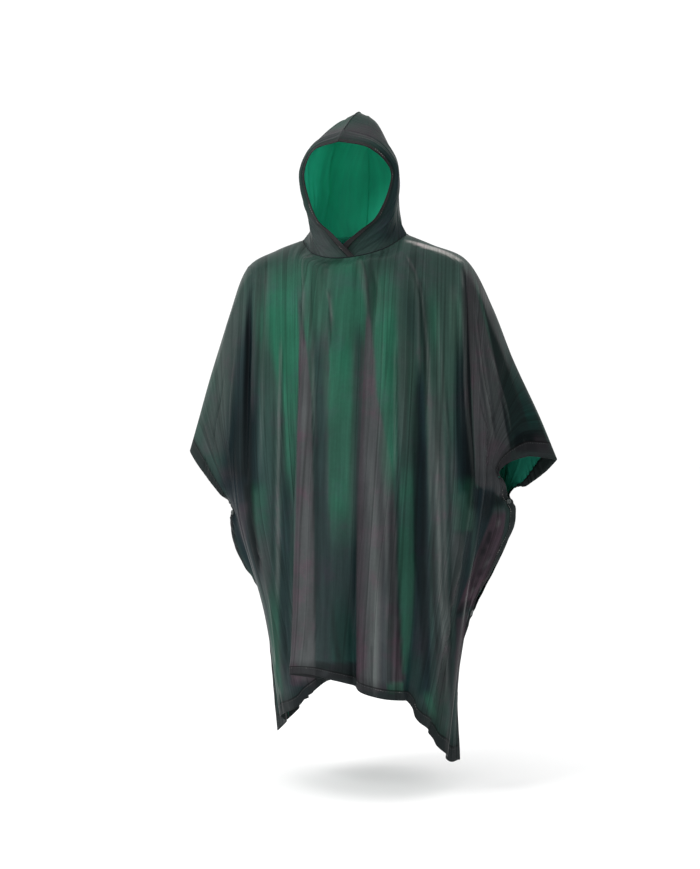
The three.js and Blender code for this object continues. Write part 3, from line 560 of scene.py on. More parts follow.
def neck_gathers(seed):
    """Short gathers where the film is sewn to the hood."""
    chance = np.random.default_rng(seed)
    rows = []
    for across in np.arange(-0.094, 0.095, 0.011):
        place = across + chance.uniform(-0.003, 0.003)
        foot = chance.uniform(0.03, 0.09)
        height = chance.choice([-1, 1]) * chance.uniform(0.0008, 0.0018)
        rows.append(dict(path=[(place, 0.0), (place * 1.12, foot)], width=0.0045, height=height))
    return rows


hem_pull = {"from": 0.003, "to": 0.053}


def snap_puckers(seed):
    """Creases that run out from each snap, and the uneven pull of the hems."""
    chance = np.random.default_rng(seed)
    rows = []
    for side in (-1, 1):
        for level in ("waist", "hip"):
            for turn in np.linspace(0.6, 5.7, 8):
                reach = chance.uniform(0.025, 0.06)
                start = np.array([side * (tip_across - side_hem_depth / 2), levels[level]])
                way = np.array([-side * np.cos(turn), np.sin(turn) / half_length])
                path = [tuple(start + way * 0.008), tuple(start + way * reach)]
                rows.append(dict(path=path, width=0.006, height=chance.choice([-1, 1]) * 0.0028))
        for down in np.arange(0.06, 0.98, 0.028):
            slant = chance.uniform(-0.012, 0.012)
            edge, inside = (side * (tip_across - hem_pull[end]) for end in ("from", "to"))
            path = [(edge, down), (inside, down + slant)]
            rows.append(dict(path=path, width=chance.uniform(0.006, 0.009),
                             height=chance.uniform(-0.003, 0.003)))
    for across in np.arange(-0.6, 0.61, 0.024):
        slant = chance.uniform(-0.01, 0.01)
        rows.append(dict(path=[(across, 0.995), (across + slant, chance.uniform(0.94, 0.965))],
                         width=0.006, height=chance.uniform(-0.0013, 0.0013)))
    return rows


plain_at_neck = 0.02


def film_points(panel, across, down, under=0.0):
    """Points of the finished film, or of a layer that lies under it."""
    normal = square_to(panel, across, down)
    share = np.stack([across, down], axis=1)
    height = relief(panel["folds"], share, (1, half_length)) * ramp(0, plain_at_neck, down) - under
    return pleated(panel, across, down) + normal * height[:, None]


def film_shade(red, green, blue):
    """A colour of the film as it looks in the studio's light, 0 to 255 a channel."""
    c = np.array([red, green, blue]) / 255
    return light_share * np.where(c <= 0.04045, c / 12.92, ((c + 0.055) / 1.055) ** 2.4)


light_share = 0.6
# Colours of the brushed tones, most of them painted light: pale and the shoulder highlight are painted
# highlights, green is painted light coming through the film, and deep and the dark navy and teal tones are
# painted shade. Grey and plum are doubled film, partly with a painted sheen.
film_tones_and_painted_light = {
    "grey": film_shade(77, 77, 80),
    "pale": film_shade(116, 124, 122),
    "painted_highlight": film_shade(196, 194, 190),
    "green": film_shade(38, 112, 86),
    "deep": film_shade(4, 16, 20),
    "navy_shade": film_shade(20, 38, 45),
    "teal_shade": film_shade(8, 58, 52),
    "plum": film_shade(68, 58, 66),
}
tone_levels = [-1.1, -0.85, -0.5, -0.3, 0.0]
plain_tones = [film_shade(44, 64, 62), film_shade(48, 68, 66), film_shade(52, 74, 70),
               film_shade(54, 82, 73), film_shade(54, 74, 69)]


def brushed(row, plan, height):
    """How much of a tone's line each place takes."""
    line = row["line"]
    top, foot = line[0, 1], line[-1, 1]
    away = plan - np.interp(-height, -line[:, 1], line[:, 0])
    width = np.interp(-height, -line[:, 1], line[:, 2])
    left, right = row["soft"]
    share = ramp(-width - left / 2, -width + left / 2, away)
    share *= 1 - ramp(width - right / 2, width + right / 2, away)
    fade_in, fade_out = row["fade"]
    share *= 1 - ramp(top - fade_in / 2, top + fade_in / 2, height)
    return row["strength"] * share * ramp(foot - fade_out / 2, foot + fade_out / 2, height)


def film_colours(points, tones, seen_from, crests, hollows):
    """The tone of the film at each point: its plain tone with the brushed tones over it, then a painted
    highlight on the crests and painted shade in the hollows.
    """
    plan = points[:, 0] * np.cos(seen_from) + points[:, 1] * np.sin(seen_from)
    height = points[:, 2]
    channels = np.transpose(plain_tones)
    colour = np.stack([np.interp(height, tone_levels, channel) for channel in channels], axis=1)
    layers = [(brushed(row, plan, height), row["tone"]) for row in tones]
    for share, tone in [*layers, (crests, "pale"), (hollows, "deep")]:
        colour += share[:, None] * (film_tones_and_painted_light[tone] - colour)
    return colour


def mesh_piece(name, built):
    """An object made from a finished bmesh."""
    mesh = bpy.data.meshes.new(name)
    built.to_mesh(mesh)
    built.free()
    piece = bpy.data.objects.new(name, mesh)
    bpy.context.scene.collection.objects.link(piece)
    return piece


def sheet_mesh(name, points, columns, rows, cut, colours, facing):
    """A grid of the given points, with its place on the flat cut as its UV map and its tone."""
    sheet = bmesh.new()
    bmesh.ops.create_grid(sheet, x_segments=len(columns) - 1, y_segments=len(rows) - 1, size=0.5)
    sheet.verts.index_update()
    spot = {}
    for vert in sheet.verts:
        c = round((vert.co.x + 0.5) * (len(columns) - 1))
        r = round((vert.co.y + 0.5) * (len(rows) - 1))
        spot[vert.index] = r * len(columns) + c
        vert.co = points[r * len(columns) + c]
    tone = sheet.verts.layers.float_color.new("tone")
    for vert in sheet.verts:
        vert[tone] = (*colours[spot[vert.index]], 1)
    uv = sheet.loops.layers.uv.new("cut")
    for face in sheet.faces:
        face.smooth = True
        for loop in face.loops:
            loop[uv].uv = cut[spot[loop.vert.index]]
    if facing > 0:
        bmesh.ops.reverse_faces(sheet, faces=sheet.faces)
    return mesh_piece(name, sheet)


def thicken(piece, thickness, materials):
    """Gives a sheet its thickness inwards, with one finish outside and another inside."""
    for material in materials:
        piece.data.materials.append(material)
    wall = piece.modifiers.new("wall", "SOLIDIFY")
    wall.thickness = thickness
    wall.offset = -1
    wall.material_offset = len(materials) - 1


def closer_at(places, start, end, count, closeness, samples=4000):
    """Steps from start to end that lie closer together around the given places."""
    fine = np.linspace(start, end, samples)
    density = np.ones(len(fine))
    for place, reach in places:
        density += closeness * np.exp(-(((fine - place) / reach) ** 2))
    total = np.concatenate([[0], np.cumsum((density[1:] + density[:-1]) / 2)])
    return np.interp(np.linspace(0, total[-1], count), total, fine)


panel_columns = 318
panel_rows = 141
busy_columns = [(0.0, 0.3), (-0.25, 0.05), (0.27, 0.05)]
busy_rows = [(0.0, 0.05), (1.0, 0.02)]


def panel_grid(panel):
    """Places across and down a panel, closer together at its deep pleats and its ends."""
    crests = [(p["across"], p["width"] * 0.8) for p in panel["pleats"] if abs(p["lean"]) > 0.03]
    columns = closer_at([*crests, *busy_columns], -tip_across, tip_across, panel_columns, closeness=1.3)
    rows = closer_at(busy_rows, 0.0, 1.0, panel_rows, closeness=1.0)
    return columns, rows


fold_shows = (0.0008, 0.0045)


def panel_layer(name, panel, columns, rows, under, materials):
    """A layer of film that follows a panel."""
    across, down = (g.ravel() for g in np.meshgrid(columns, rows))
    cut = np.stack([across, down], axis=1)
    points = film_points(panel, across, down, under)
    laid = [dict(p, lean=abs(p["lean"]), stands=1) for p in panel["pleats"]]
    side, out = pleat_shift(laid, across, down)
    rise = relief(panel["folds"], cut, (1, half_length))
    # Painted highlight and painted shade: the pale tone on the standing pleat crests and on raised small
    # folds, and the deep tone on the hollow side of each pleat and in small troughs.
    crests = 0.6 * np.clip(out - 0.35, 0, 1) * panel["shading"]
    crests = np.maximum(crests, 0.18 * ramp(*fold_shows, rise))
    hollows = 0.5 * ramp(0.005, 0.05, -side) * panel["shading"]
    hollows = np.maximum(hollows, 0.42 * ramp(*fold_shows, -rise))
    colours = film_colours(points, panel["tones"], panel["seen_from"], crests, hollows)
    # Painted light: the colours are lightened by the panel's lift share from a little below the shoulders
    # down, fading out towards the sleeves. On the back it stands in for the key light, which reaches only the
    # front.
    painted_light_lift = panel["painted_light_lift"] * ramp(0, 0.12, down) * (1 - ramp(0.4, 0.56, np.abs(across)))
    colours *= 1 + painted_light_lift[:, None]
    piece = sheet_mesh(name, points, columns, rows, cut, colours, -panel["facing"])
    thicken(piece, film_thickness, materials)
    return piece


def add_node(tree, kind, **settings):
    """A shader node with its settings, and with its inputs given by name or number."""
    node = tree.nodes.new(kind)
    inputs = settings.pop("inputs", {})
    for name, value in settings.items():
        setattr(node, name, value)
    for key, value in inputs.items():
        if isinstance(value, bpy.types.NodeSocket):
            tree.links.new(value, node.inputs[key])
        else:
            node.inputs[key].default_value = value
    return node


def maths(tree, operation, *values):
    return add_node(tree, "ShaderNodeMath", operation=operation, inputs=dict(enumerate(values))).outputs[0]


def blended(tree, share, first, second, blend="MIX"):
    inputs = {"Factor": share, "A": first, "B": second}
    node = add_node(tree, "ShaderNodeMix", data_type="RGBA", blend_type=blend, inputs=inputs)
    return node.outputs["Result"]


def tinted(tree, colour, by):
    """A colour times a shade or another colour."""
    return blended(tree, 1.0, colour, by, "MULTIPLY")


def bare_material(name):
    """A material with no nodes yet."""
    material = bpy.data.materials.new(name)
    material.use_nodes = True
    material.node_tree.nodes.clear()
    return material, material.node_tree


def noise(tree, vector, scale, detail=2.0, roughness=0.5, kind="FBM", stretch=(1, 1, 1)):
    mapped = add_node(tree, "ShaderNodeMapping", inputs={"Vector": vector, "Scale": stretch})
    inputs = {"Vector": mapped.outputs["Vector"], "Scale": scale, "Detail": detail, "Roughness": roughness}
    return add_node(tree, "ShaderNodeTexNoise", noise_type=kind, inputs=inputs).outputs["Fac"]


def ranged(tree, value, start, end, low, high):
    """Takes a value from one range to another, with a soft start and end."""
    inputs = {"Value": value, "From Min": start, "From Max": end, "To Min": low, "To Max": high}
    node = add_node(tree, "ShaderNodeMapRange", interpolation_type="SMOOTHSTEP", inputs=inputs)
    return node.outputs["Result"]


film_gloss = 0.05


def film_shader(tree, colour, through, share, roughness, height, deep):
    """Soft plastic film: a low gloss over its colour, and some light let through."""
    bump = add_node(tree, "ShaderNodeBump", inputs={"Strength": 0.6, "Distance": deep, "Height": height})
    normal = bump.outputs["Normal"]
    inputs = {"Base Color": colour, "Roughness": roughness, "Normal": normal, "Specular IOR Level": film_gloss}
    gloss = add_node(tree, "ShaderNodeBsdfPrincipled", inputs=inputs)
    glow = add_node(tree, "ShaderNodeBsdfTranslucent", inputs={"Color": through, "Normal": normal})
    both = add_node(tree, "ShaderNodeMixShader", inputs={0: share, 1: gloss.outputs[0], 2: glow.outputs[0]})
    add_node(tree, "ShaderNodeOutputMaterial", inputs={"Surface": both.outputs[0]})


def creased(tree, cut, colour):
    """Long thin creases that run down the film: a line of painted shade with a line of painted highlight
    beside it, the same lines also shaping the bump.
    """
    height = 0.5
    for stretch, strength in (((16, 0.3, 1), 0.26), ((34, 0.5, 1), 0.2)):
        wander = maths(tree, "SUBTRACT", noise(tree, cut, 1.0, detail=1.5, stretch=stretch), 0.5)
        dark = ranged(tree, maths(tree, "ABSOLUTE", wander), 0.002, 0.014, 1 - strength, 1.0)
        beside = maths(tree, "ABSOLUTE", maths(tree, "SUBTRACT", wander, 0.022))
        pale = ranged(tree, beside, 0.002, 0.012, 1 + strength * 0.7, 1.0)
        shade = maths(tree, "MULTIPLY", dark, pale)
        colour = tinted(tree, colour, shade)
        height = maths(tree, "MULTIPLY", height, shade)
    return colour, height


def film_outside(name, side_hem, foot_hem, hem_tone, through, share):
    """The smoky outside. A hem gives its inner edge on the cut, and its scale in metres. Hems lie
    doubled, so they look plum grey, with a dark line at their inner edge."""
    material, tree = bare_material(name)
    place = add_node(tree, "ShaderNodeTexCoord").outputs["Object"]
    cut = add_node(tree, "ShaderNodeUVMap", uv_map="cut").outputs["UV"]
    tone = add_node(tree, "ShaderNodeAttribute", attribute_name="tone").outputs["Color"]
    streaks = noise(tree, cut, 1.0, detail=3, roughness=0.6, stretch=(85, 4, 1))
    threads = noise(tree, cut, 1.0, detail=3, roughness=0.65, stretch=(240, 3, 1))
    clouds = noise(tree, place, 9.0)
    colour = tinted(tree, tone, ranged(tree, streaks, 0.25, 0.75, 0.86, 1.14))
    colour = tinted(tree, colour, ranged(tree, threads, 0.25, 0.75, 0.88, 1.12))
    colour = tinted(tree, colour, ranged(tree, clouds, 0.3, 0.7, 0.9, 1.1))
    mottles = ranged(tree, noise(tree, place, 16.0, detail=5, roughness=0.65), 0.48, 0.72, 0.0, 0.8)
    colour = blended(tree, mottles, colour, tinted(tree, colour, (1.35, 0.9, 1.08, 1)))
    fine = noise(tree, place, 150.0)
    colour = tinted(tree, colour, ranged(tree, fine, 0.35, 0.65, 0.975, 1.025))
    colour, creases = creased(tree, cut, colour)
    split = add_node(tree, "ShaderNodeSeparateXYZ", inputs={"Vector": cut})
    across = maths(tree, "ABSOLUTE", split.outputs["X"])
    to_side = maths(tree, "MULTIPLY", maths(tree, "SUBTRACT", across, side_hem[0]), side_hem[1])
    to_foot = maths(tree, "MULTIPLY", maths(tree, "SUBTRACT", split.outputs["Y"], foot_hem[0]), foot_hem[1])
    past = maths(tree, "MAXIMUM", to_side, to_foot)
    doubled = ranged(tree, past, -0.001, 0.001, 0.0, 1.0)
    line = ranged(tree, maths(tree, "ABSOLUTE", past), 0.0004, 0.0026, 0.4, 1.0)
    colour = blended(tree, maths(tree, "MULTIPLY", doubled, 0.55), colour, (*hem_tone, 1))
    colour = tinted(tree, colour, line)
    # Near and on the hems the film is crinkled, in its bump and in its colour: painted shade in the crinkles'
    # troughs and a painted highlight on their ridges.
    crinkle = noise(tree, place, 24.0, detail=3, roughness=0.6, kind="RIDGED_MULTIFRACTAL")
    rumpled = ranged(tree, past, -0.03, 0.005, 0.0, 0.9)
    colour = blended(tree, rumpled, colour, ranged(tree, crinkle, 0.2, 0.9, 0.55, 1.4), "MULTIPLY")
    near_hem = ranged(tree, past, -0.05, 0.01, 0.12, 0.5)
    height = maths(tree, "MULTIPLY", crinkle, near_hem)
    for layer, strength in ((fine, 0.08), (line, 0.5), (threads, 0.3), (creases, 1.0)):
        height = maths(tree, "ADD", height, maths(tree, "MULTIPLY", layer, strength))
    lit = blended(tree, through[3], colour, (*through[:3], 1))
    film_shader(tree, colour, lit, share, ranged(tree, clouds, 0.3, 0.7, 0.34, 0.48), height, deep=0.0016)
    return material


def film_inside(name, colour, share):
    """The clear green inside, painted brighter up in the hood: painted light for the light that comes through
    from all round.
    """
    material, tree = bare_material(name)
    place = add_node(tree, "ShaderNodeTexCoord").outputs["Object"]
    cut = add_node(tree, "ShaderNodeUVMap", uv_map="cut").outputs["UV"]
    streaks = noise(tree, cut, 1.0, detail=2, stretch=(60, 6, 1))
    clouds = noise(tree, place, 12.0)
    shade = maths(tree, "MULTIPLY", ranged(tree, streaks, 0.3, 0.7, 0.93, 1.07),
                  ranged(tree, clouds, 0.3, 0.7, 0.9, 1.1))
    # Painted light: up to 2.4 times brighter from a little below the neck up into the hood.
    up = add_node(tree, "ShaderNodeSeparateXYZ", inputs={"Vector": place}).outputs["Z"]
    shade = maths(tree, "MULTIPLY", shade, ranged(tree, up, -0.16, -0.02, 1.0, 2.4))
    tint = tinted(tree, (*colour, 1), shade)
    height = maths(tree, "MULTIPLY", noise(tree, place, 60.0), 0.3)
    film_shader(tree, tint, tint, share, ranged(tree, clouds, 0.3, 0.7, 0.36, 0.5), height, deep=0.001)
    return material


green_light = (0.1, 0.5, 0.34)
side_hem = (tip_across - side_hem_depth, 1.0)
foot_hem = (1 - foot_hem_depth / half_length, half_length)
poncho_outside = film_outside("smoky film", side_hem, foot_hem, film_shade(58, 58, 62),
                              through=(*green_light, 0.1), share=0.12)
# The inside green is set bright, partly the film's own clear green and partly painted light for light coming
# through it.
poncho_inside = film_inside("clear green film", np.array([0.02, 0.22, 0.15]), share=0.3)
front = dict(lines=front_lines, pleats=front_pleats, neck=neck_front, facing=-1, tones=front_painted_light_and_tones,
             folds=front_folds + neck_gathers(3) + faint_falls(5, 26) + snap_puckers(7),
             seen_from=photo_turn, shading=0.25, painted_light_lift=0.0)
front_columns, front_rows = panel_grid(front)
poncho_finish = [poncho_outside, poncho_inside]
front_sheet = panel_layer("front_sheet", front, front_columns, front_rows, 0.0, poncho_finish)
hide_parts("front-panel")
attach(front_sheet, "root")

# Back panel. The other half of the same sheet, hanging from the shoulders and the back of the
# neck seam, with five pleats of its own.

neck_back = [
    dict(across=-0.1, at=(-0.118, 0.0, 0.003)),
    dict(across=-0.06, at=(-0.075, 0.06, 0.012)),
    dict(across=0.0, at=(0.0, 0.084, 0.018)),
    dict(across=0.06, at=(0.074, 0.061, 0.014)),
    dict(across=0.1, at=(0.113, 0.0, 0.008)),
]
back_lines = [
    dict(across=-0.66, turn=(-0.372, 0.06, -0.478), chest=(-0.325, 0.082, -0.545),
         waist=(-0.283, 0.038, -0.579), hip=(-0.226, 0.058, -0.748), hem=(-0.186, 0.098, -1.04)),
    dict(across=-0.44, turn=(-0.322, 0.078, -0.306), chest=(-0.288, 0.102, -0.45),
         waist=(-0.25, 0.096, -0.612), hip=(-0.198, 0.104, -0.8), hem=(-0.168, 0.12, -1.02)),
    dict(across=-0.235, turn=(-0.236, 0.086, -0.084), chest=(-0.226, 0.126, -0.335),
         waist=(-0.214, 0.142, -0.56), hip=(-0.174, 0.152, -0.785), hem=(-0.14, 0.158, -0.985)),
    dict(across=-0.15, turn=(-0.162, 0.082, -0.046), chest=(-0.142, 0.13, -0.316),
         waist=(-0.132, 0.155, -0.545), hip=(-0.12, 0.17, -0.76), hem=(-0.104, 0.178, -0.955)),
    dict(across=-0.06, turn=(-0.078, 0.09, -0.018), chest=(-0.07, 0.135, -0.315),
         waist=(-0.064, 0.158, -0.545), hip=(-0.058, 0.172, -0.755), hem=(-0.05, 0.18, -0.938)),
    dict(across=0.0, turn=(0.0, 0.104, -0.01), chest=(0.0, 0.138, -0.315),
         waist=(0.0, 0.16, -0.545), hip=(0.0, 0.173, -0.755), hem=(0.0, 0.182, -0.934)),
    dict(across=0.06, turn=(0.078, 0.09, -0.016), chest=(0.076, 0.135, -0.316),
         waist=(0.072, 0.158, -0.545), hip=(0.066, 0.172, -0.756), hem=(0.058, 0.18, -0.938)),
    dict(across=0.15, turn=(0.162, 0.082, -0.038), chest=(0.17, 0.13, -0.32),
         waist=(0.164, 0.155, -0.545), hip=(0.138, 0.17, -0.765), hem=(0.112, 0.176, -0.955)),
    dict(across=0.235, turn=(0.24, 0.082, -0.088), chest=(0.242, 0.122, -0.338),
         waist=(0.236, 0.138, -0.56), hip=(0.184, 0.15, -0.79), hem=(0.142, 0.146, -0.995)),
    dict(across=0.44, turn=(0.328, 0.07, -0.292), chest=(0.316, 0.096, -0.434),
         waist=(0.276, 0.092, -0.59), hip=(0.206, 0.098, -0.8), hem=(0.162, 0.104, -1.035)),
    dict(across=0.66, turn=(0.396, 0.062, -0.488), chest=(0.352, 0.082, -0.519),
         waist=(0.317, 0.041, -0.549), hip=(0.241, 0.055, -0.786), hem=(0.18, 0.082, -1.062)),
]
back_pleats = [
    dict(across=-0.31, width=0.08, lean=0.02, stands=0.024, at_top=0.2),
    dict(across=-0.13, width=0.076, lean=0.066, stands=0.054, at_top=0.16),
    dict(across=0.03, width=0.074, lean=0.062, stands=0.052, at_top=0.16),
    dict(across=0.196, width=0.074, lean=-0.044, stands=0.042, at_top=0.18),
    dict(across=0.35, width=0.08, lean=-0.018, stands=0.022, at_top=0.2),
]
# Tones of the back, all painted light and shade: a painted green glow where light comes through, grey painted
# sheen, and painted shade in the hollows and near the hem.
back_painted_light = [
    stroke("green", 0.7, (40, 40), (60, 120), (-160, -100, 24.9), (-170, -400, 16.6)),
    stroke("green", 0.7, (40, 40), (60, 120), (120, -100, 24.9), (130, -420, 16.6)),
    stroke("green", 0.5, (52, 52), (50, 120), (0, -80, 33.2), (-10, -450, 20.8)),
    stroke("green", 0.35, (32, 32), (60, 80), (50, -600, 16.6), (50, -900, 16.6)),
    stroke("grey", 0.5, (48, 48), (80, 40), (-270, -160, 24.9), (-310, -450, 24.9)),
    stroke("grey", 0.5, (44, 44), (80, 40), (240, -140, 20.8), (330, -400, 24.9)),
    stroke("deep", 0.6, (21, 21), (80, 60), (-220, -140, 10), (-230, -520, 11.6)),
    stroke("deep", 0.6, (21, 21), (80, 60), (220, -140, 10), (235, -520, 11.6)),
    stroke("deep", 0.35, (18, 18), (80, 100), (-60, -300, 8.3), (-55, -800, 10)),
    stroke("teal_shade", 0.5, (38, 38), (100, 10), (20, -700, 16.6), (25, -930, 23.2)),
    stroke("grey", 0.35, (21, 21), (80, 80), (-100, -450, 8.3), (-90, -850, 13.3)),
]
back_folds = [
    crease(6, 4, (-0.085, 0.02), (-0.082, 0.16), (-0.07, 0.3)),
    crease(6, -3.5, (-0.06, 0.03), (-0.055, 0.2), (-0.06, 0.34)),
    crease(6, 4, (0.07, 0.02), (0.085, 0.2), (0.09, 0.42)),
    crease(6, -3.5, (0.09, 0.05), (0.102, 0.2), (0.106, 0.38)),
    crease(8, -3, (0, 0.1), (0.006, 0.4), (0, 0.7)),
    crease(7, 2.6, (0.02, 0.2), (0.026, 0.5), (0.022, 0.86)),
    crease(8, -5, (-0.2, 0.06), (-0.215, 0.25), (-0.22, 0.46)),
    crease(7, 4, (-0.18, 0.08), (-0.19, 0.24), (-0.195, 0.4)),
    crease(8, -5, (0.24, 0.05), (0.25, 0.22), (0.255, 0.45)),
    crease(7, 4, (0.22, 0.08), (0.228, 0.24), (0.232, 0.42)),
    crease(8, 3.5, (0.28, 0.1), (0.36, 0.2), (0.5, 0.24)),
    crease(8, 3, (-0.28, 0.12), (-0.36, 0.22), (-0.5, 0.26)),
    crease(7, -3, (-0.3, 0.2), (-0.4, 0.32), (-0.5, 0.36)),
    crease(7, -3, (0.3, 0.24), (0.4, 0.33), (0.5, 0.38)),
    crease(7, 3, (-0.24, 0.5), (-0.26, 0.7), (-0.25, 0.9)),
    crease(7, -3, (0.26, 0.52), (0.27, 0.72), (0.262, 0.92)),
    crease(6, 2.6, (0.11, 0.5), (0.118, 0.7), (0.112, 0.95)),
    crease(6, 2.4, (-0.05, 0.55), (-0.045, 0.78), (-0.05, 0.96)),
    crease(8, -3, (-0.4, 0.55), (-0.43, 0.75), (-0.42, 0.95)),
    crease(8, 3, (0.42, 0.56), (0.44, 0.76), (0.43, 0.95)),
]
back = dict(lines=back_lines, pleats=back_pleats, neck=neck_back, facing=1, tones=back_painted_light,
            folds=back_folds + neck_gathers(13) + faint_falls(15, 34) + snap_puckers(17),
            seen_from=0.0, shading=1.0, painted_light_lift=0.7)
back_columns, back_rows = panel_grid(back)
back_sheet = panel_layer("back_sheet", back, back_columns, back_rows, 0.0, poncho_finish)
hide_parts("back-panel")
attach(back_sheet, "root")

# Hems. The film is turned in once along the bottom and both sides of each panel, and the fold
# is left soft. The turned strip lies just under the panel.

hem_under = 0.0011
panel_hems = {"front": [], "back": []}
panels = {"front": (front, front_columns, front_rows), "back": (back, back_columns, back_rows)}
for panel_name, (panel, columns, rows) in panels.items():
    inner = tip_across - side_hem_depth
    strips = {
        "bottom-hem": (columns[np.abs(columns) < inner], rows[rows > 1 - foot_hem_depth / half_length]),
        "side-hem-right": (columns[columns < -inner], rows),
        "side-hem-left": (columns[columns > inner], rows),
    }
    for strip_name, (strip_columns, strip_rows) in strips.items():
        hem = panel_layer(f"{panel_name}_{strip_name}".replace("-", "_"), panel, strip_columns, strip_rows,
                          hem_under, [poncho_inside, poncho_outside])
        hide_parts(f"{panel_name}-{strip_name}")
        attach(hem, "root")
        panel_hems[panel_name].append(hem)


def rolled_edge(name, line, radius, finish):
    """A soft rolled fold or weld along a line of points."""
    curve = bpy.data.curves.new(name, "CURVE")
    curve.dimensions = "3D"
    curve.bevel_depth = radius
    curve.bevel_resolution = 2
    curve.use_fill_caps = True
    spline = curve.splines.new("POLY")
    spline.points.add(len(line) - 1)
    for point, place in zip(spline.points, line):
        point.co = (*place, 1)
    curve.materials.append(finish)
    edge = bpy.data.objects.new(name, curve)
    bpy.context.scene.collection.objects.link(edge)
    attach(edge, "root")
    return edge


def film_edge(name, colour):
    """The film where it is folded or welded, seen edge on."""
    material, tree = bare_material(name)
    place = add_node(tree, "ShaderNodeTexCoord").outputs["Object"]
    worn = ranged(tree, noise(tree, place, 35.0, detail=3), 0.3, 0.7, 0.7, 1.35)
    tint = tinted(tree, (*colour, 1), worn)
    roughness = ranged(tree, worn, 0.7, 1.35, 0.3, 0.42)
    film_shader(tree, tint, tint, 0.1, roughness, noise(tree, place, 90.0), deep=0.0008)
    return material


fold_finish = film_edge("folded hem", film_shade(42, 48, 49))
fold_radius = 0.0009
for panel_name, (panel, columns, rows) in panels.items():
    runs = {
        "foot_fold": (columns, np.ones(len(columns))),
        "side_fold_right": (np.full(len(rows), -tip_across), rows),
        "side_fold_left": (np.full(len(rows), tip_across), rows),
    }
    for run_name, (across, down) in runs.items():
        line = film_points(panel, across, down, under=fold_radius)
        edge = rolled_edge(f"{panel_name}_{run_name}", line, fold_radius, fold_finish)
        panel_hems[panel_name].append(edge)

# Hood. Two halves of the same film, joined over the crown and down the back. At the chin the
# wearer's right half laps over the other.

hood_heights = {"low": 0.1, "chin": 0.2, "jaw": 0.34, "cheek": 0.52, "temple": 0.66, "brow": 0.84,
                "crown": 1.0}
hood_rows = [
    dict(back=0, low=(0.0, -0.106, -0.02), chin=(0.028, -0.092, 0.006), jaw=(0.064, -0.074, 0.038),
         cheek=(0.09, -0.064, 0.1), temple=(0.092, -0.072, 0.14), brow=(0.058, -0.112, 0.176),
         crown=(0.0, -0.131, 0.188)),
    dict(back=0.2, low=(0.07, -0.072, -0.008), chin=(0.084, -0.058, 0.022), jaw=(0.096, -0.046, 0.058),
         cheek=(0.107, -0.054, 0.108), temple=(0.104, -0.06, 0.152), brow=(0.064, -0.08, 0.198),
         crown=(0.0, -0.092, 0.22)),
    dict(back=0.5, low=(0.096, 0.004, 0.034), chin=(0.091, 0.006, 0.06), jaw=(0.088, 0.008, 0.092),
         cheek=(0.086, 0.008, 0.136), temple=(0.073, 0.002, 0.19), brow=(0.042, 0.012, 0.249),
         crown=(0.0, 0.024, 0.276)),
    dict(back=0.75, low=(0.068, 0.066, 0.042), chin=(0.066, 0.07, 0.068), jaw=(0.066, 0.074, 0.098),
         cheek=(0.064, 0.078, 0.138), temple=(0.054, 0.08, 0.182), brow=(0.028, 0.076, 0.228),
         crown=(0.0, 0.078, 0.248)),
    dict(back=1, low=(0.0, 0.088, 0.046), chin=(0.0, 0.094, 0.072), jaw=(0.0, 0.1, 0.1),
         cheek=(0.0, 0.104, 0.132), temple=(0.0, 0.104, 0.16), brow=(0.0, 0.102, 0.186),
         crown=(0.0, 0.098, 0.206)),
]
chin_lap = {-1: 0.02, 1: 0.012}
tucked_in = 0.009
tucked_across = (0.12, 0.45)
tucked_up = (0.1, 0.4)
hood_cut = (0.34, 0.40)
hood_cut_at = 0.9
face_hem_share = 0.04
face_hem_rise = 0.0009
crown_margin = 0.03
back_margin = 0.04
hood_probe = 0.004


def neck_across(side, back_share):
    front_part = side * (-chin_lap[side] + (neck_side + chin_lap[side]) * back_share / 0.5)
    back_part = side * neck_side * (1 - (back_share - 0.5) / 0.5)
    return np.where(back_share < 0.5, front_part, back_part)


def hood_points(side, back_share, up, under=0.0):
    """Points of one half: back_share runs from the face edge to the back seam, up to the crown."""

    def surface(w, t):
        across = neck_across(side, w)
        neck = np.where((w < 0.5)[:, None], on_rows(neck_front, across), on_rows(neck_back, across))
        knots = column(hood_rows, "back")
        flip = np.array([side, 1, 1])
        places = [smooth(knots, column(hood_rows, name), w) * flip for name in hood_heights]
        point = smooth([0.0, *hood_heights.values()], np.stack([neck, *places]), t)
        tucked = (1 - ramp(*tucked_across, w)) * (1 - ramp(*tucked_up, t)) if side > 0 else 0
        point[:, 1] += tucked_in * tucked
        return point

    w = np.clip(back_share, hood_probe, 1 - hood_probe)
    t = np.clip(up, hood_probe, 1 - hood_probe)
    along_w = surface(w + hood_probe, t) - surface(w - hood_probe, t)
    along_t = surface(w, t + hood_probe) - surface(w, t - hood_probe)
    normal = np.cross(along_w, along_t) * side
    normal /= np.linalg.norm(normal, axis=1)[:, None]
    edge = ramp(0, crown_margin, up) * (1 - ramp(1 - crown_margin, 1, up))
    edge *= 1 - ramp(1 - back_margin, 1, back_share)
    height = relief(hood_folds[side], np.stack([back_share, up], axis=1), hood_cut) * edge
    band = face_hem_rise * (1 - ramp(face_hem_share, face_hem_share + 0.004, back_share))
    return surface(back_share, up) + normal * (height + band - under)[:, None]


